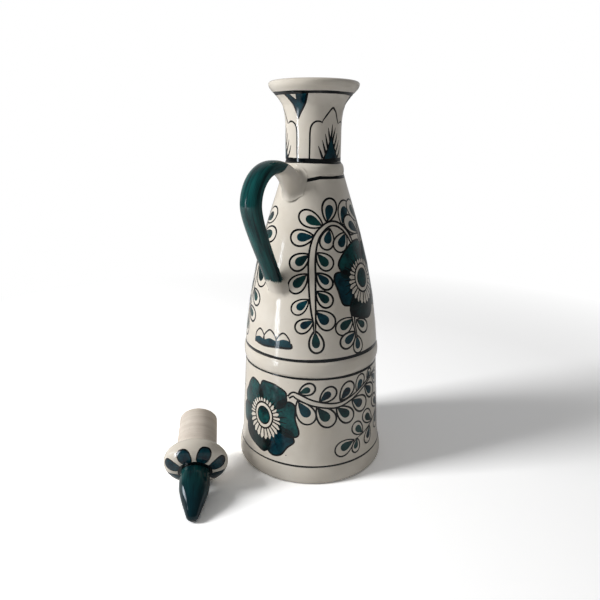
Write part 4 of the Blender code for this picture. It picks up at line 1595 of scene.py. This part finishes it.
def make_floor():
    """A disc whose middle takes shadows and whose far part is white."""
    board = Board(bpy.data.materials.new("pale_floor"))
    length = {"operation": "LENGTH"}
    middle = board.node("ShaderNodeVectorMath", length, {0: board.place()}, output=1)
    fade = board.clamp((middle - FADE_START) * (1.0 / (FADE_END - FADE_START)))
    pale, shown = [
        board.node("ShaderNodeBsdfDiffuse", inputs={"Color": grey(tone)})
        for tone in (FLOOR_TONE, FLOOR_GAIN * FLOOR_TONE)
    ]
    white = board.node("ShaderNodeEmission", inputs={"Color": grey(1.0)})
    faded = board.node("ShaderNodeMixShader", inputs={0: fade, 1: shown, 2: white})
    seen, _ = ray_kinds(board)
    whole = board.node("ShaderNodeMixShader", inputs={0: seen, 1: pale, 2: faded})
    board.node("ShaderNodeOutputMaterial", inputs={"Surface": whole})
    turns = [math.tau * i / FLOOR_SIDES for i in range(FLOOR_SIDES)]
    rim = [(FLOOR_REACH * math.cos(turn), FLOOR_REACH * math.sin(turn), 0.0) for turn in turns]
    mesh = bpy.data.meshes.new("floor")
    mesh.from_pydata(rim, [], [list(range(FLOOR_SIDES))])
    mesh.materials.append(board.owner)
    add_object("floor", mesh)


make_floor()

# %% Window panes and sky
TARGET = Vector((0.0, 0.0, 0.12))
WINDOW_AWAY, WINDOW_BEARING, WINDOW_RISE = 1.3, math.radians(-74.0), math.radians(29.0)
WINDOW_SIZE, WINDOW_POWER = (0.32, 0.66), 15.5
PANE_AWAY, PANE_BEARINGS = 0.17, (-50.5, -53.0, -62.0)  # of the rows, from the lowest
PANE_WIDE, PANE_TALL, PANE_GAP, PANE_POWER = 0.0080, 0.080, 0.0025, 0.0032
PANE_FOOT = 0.006
PANE_SPREAD = math.radians(44.0)  # so that only level rays reach the glaze
PANE_COLOUR = (0.84, 0.91, 1.0)
GRIP_MIDDLE = Vector((-0.080, -0.088, 0.013))
GRIP_LIGHT_START = Vector((-0.970, 0.242, 0.0))
GRIP_LIGHT_END = Vector((-0.842, -0.393, 0.370))
GRIP_LIGHT_AWAY, GRIP_LIGHT_SIZE, GRIP_LIGHT_POWER = 0.15, (0.026, 0.120), 0.0085
EDGE_AWAY, EDGE_BEARING, EDGE_RISE = 1.2, math.radians(125.0), math.radians(20.0)
EDGE_SIZE, EDGE_POWER = (0.5, 0.9), 0.9
SKY_LEVEL = 0.21  # of the light that the sky gives
ROOM_LEVEL, WALL_LEVEL = 0.10, 0.42  # in reflections, on the camera's side and behind


def toward(bearing, rise, away):
    """A place seen from the target at a bearing from the front and at a rise."""
    flat = math.cos(rise) * away
    return TARGET + Vector(
        (flat * math.sin(bearing), -flat * math.cos(bearing), math.sin(rise) * away)
    )


def make_lamp(name, place, size, power, aim=TARGET, long_way=Vector((0.0, 0.0, 1.0))):
    """A rectangular lamp that neither camera nor glaze sees, its second side along a way."""
    lamp = bpy.data.lights.new(name, "AREA")
    lamp.shape = "RECTANGLE"
    lamp.size, lamp.size_y = size
    lamp.energy = power
    obj = add_object(name, lamp)
    back = (place - aim).normalized()
    across = long_way.cross(back).normalized()
    turned = Matrix((across, back.cross(across), back)).transposed()
    obj.matrix_world = Matrix.Translation(place) @ turned.to_4x4()
    obj.visible_camera = False
    obj.visible_glossy = False
    return obj


def make_glint(*settings):
    """A narrow bluish lamp that only the glaze mirrors."""
    glint = make_lamp(*settings)
    glint.visible_glossy = True
    glint.visible_diffuse = False
    glint.data.color = PANE_COLOUR
    glint.data.spread = PANE_SPREAD


def make_panes():
    """Two columns of three bright panes."""
    for row, degrees in enumerate(PANE_BEARINGS):
        bearing = math.radians(degrees)
        foot = Vector((math.sin(bearing), -math.cos(bearing), 0.0)) * PANE_AWAY
        aside = Vector((math.cos(bearing), math.sin(bearing), 0.0))
        height = PANE_FOOT + PANE_TALL / 2 + row * (PANE_TALL + PANE_GAP)
        aim = Vector((0.0, 0.0, height))
        for column in (-0.5, 0.5):
            place = foot + aside * column * (PANE_WIDE + PANE_GAP) + aim
            make_glint("pane", place, (PANE_WIDE, PANE_TALL), PANE_POWER, aim)


def make_grip_strip():
    """A slanting bright strip beside the stopper, which its grip mirrors along one flank."""
    middle = (GRIP_LIGHT_START + GRIP_LIGHT_END).normalized()
    place = GRIP_MIDDLE + middle * GRIP_LIGHT_AWAY
    long_way = GRIP_LIGHT_END - GRIP_LIGHT_START
    make_glint("grip_strip", place, GRIP_LIGHT_SIZE, GRIP_LIGHT_POWER, GRIP_MIDDLE, long_way)


def make_sky():
    """Plain white where it is seen, dimmer as a light, and in the glaze a room with a pale wall."""
    world = bpy.data.worlds.new("studio")
    bpy.context.scene.world = world
    board = Board(world)
    seen, mirrored = ray_kinds(board)
    way = board.node("ShaderNodeTexCoord")
    depth = board.node("ShaderNodeSeparateXYZ", inputs={0: way}, output=1)
    room = board.ramp(depth, (0.15, ROOM_LEVEL), (0.45, WALL_LEVEL))
    level = seen * (1.0 - SKY_LEVEL) + mirrored * (room - SKY_LEVEL) + SKY_LEVEL
    sky = board.node("ShaderNodeBackground", inputs={"Color": grey(1.0), "Strength": level})
    board.node("ShaderNodeOutputWorld", inputs={"Surface": sky})


window_place = toward(WINDOW_BEARING, WINDOW_RISE, WINDOW_AWAY)
make_lamp("window", window_place, WINDOW_SIZE, WINDOW_POWER)
make_panes()
make_grip_strip()
make_lamp("edge", toward(EDGE_BEARING, EDGE_RISE, EDGE_AWAY), EDGE_SIZE, EDGE_POWER)
make_sky()
bpy.context.scene.view_settings.view_transform = "Standard"
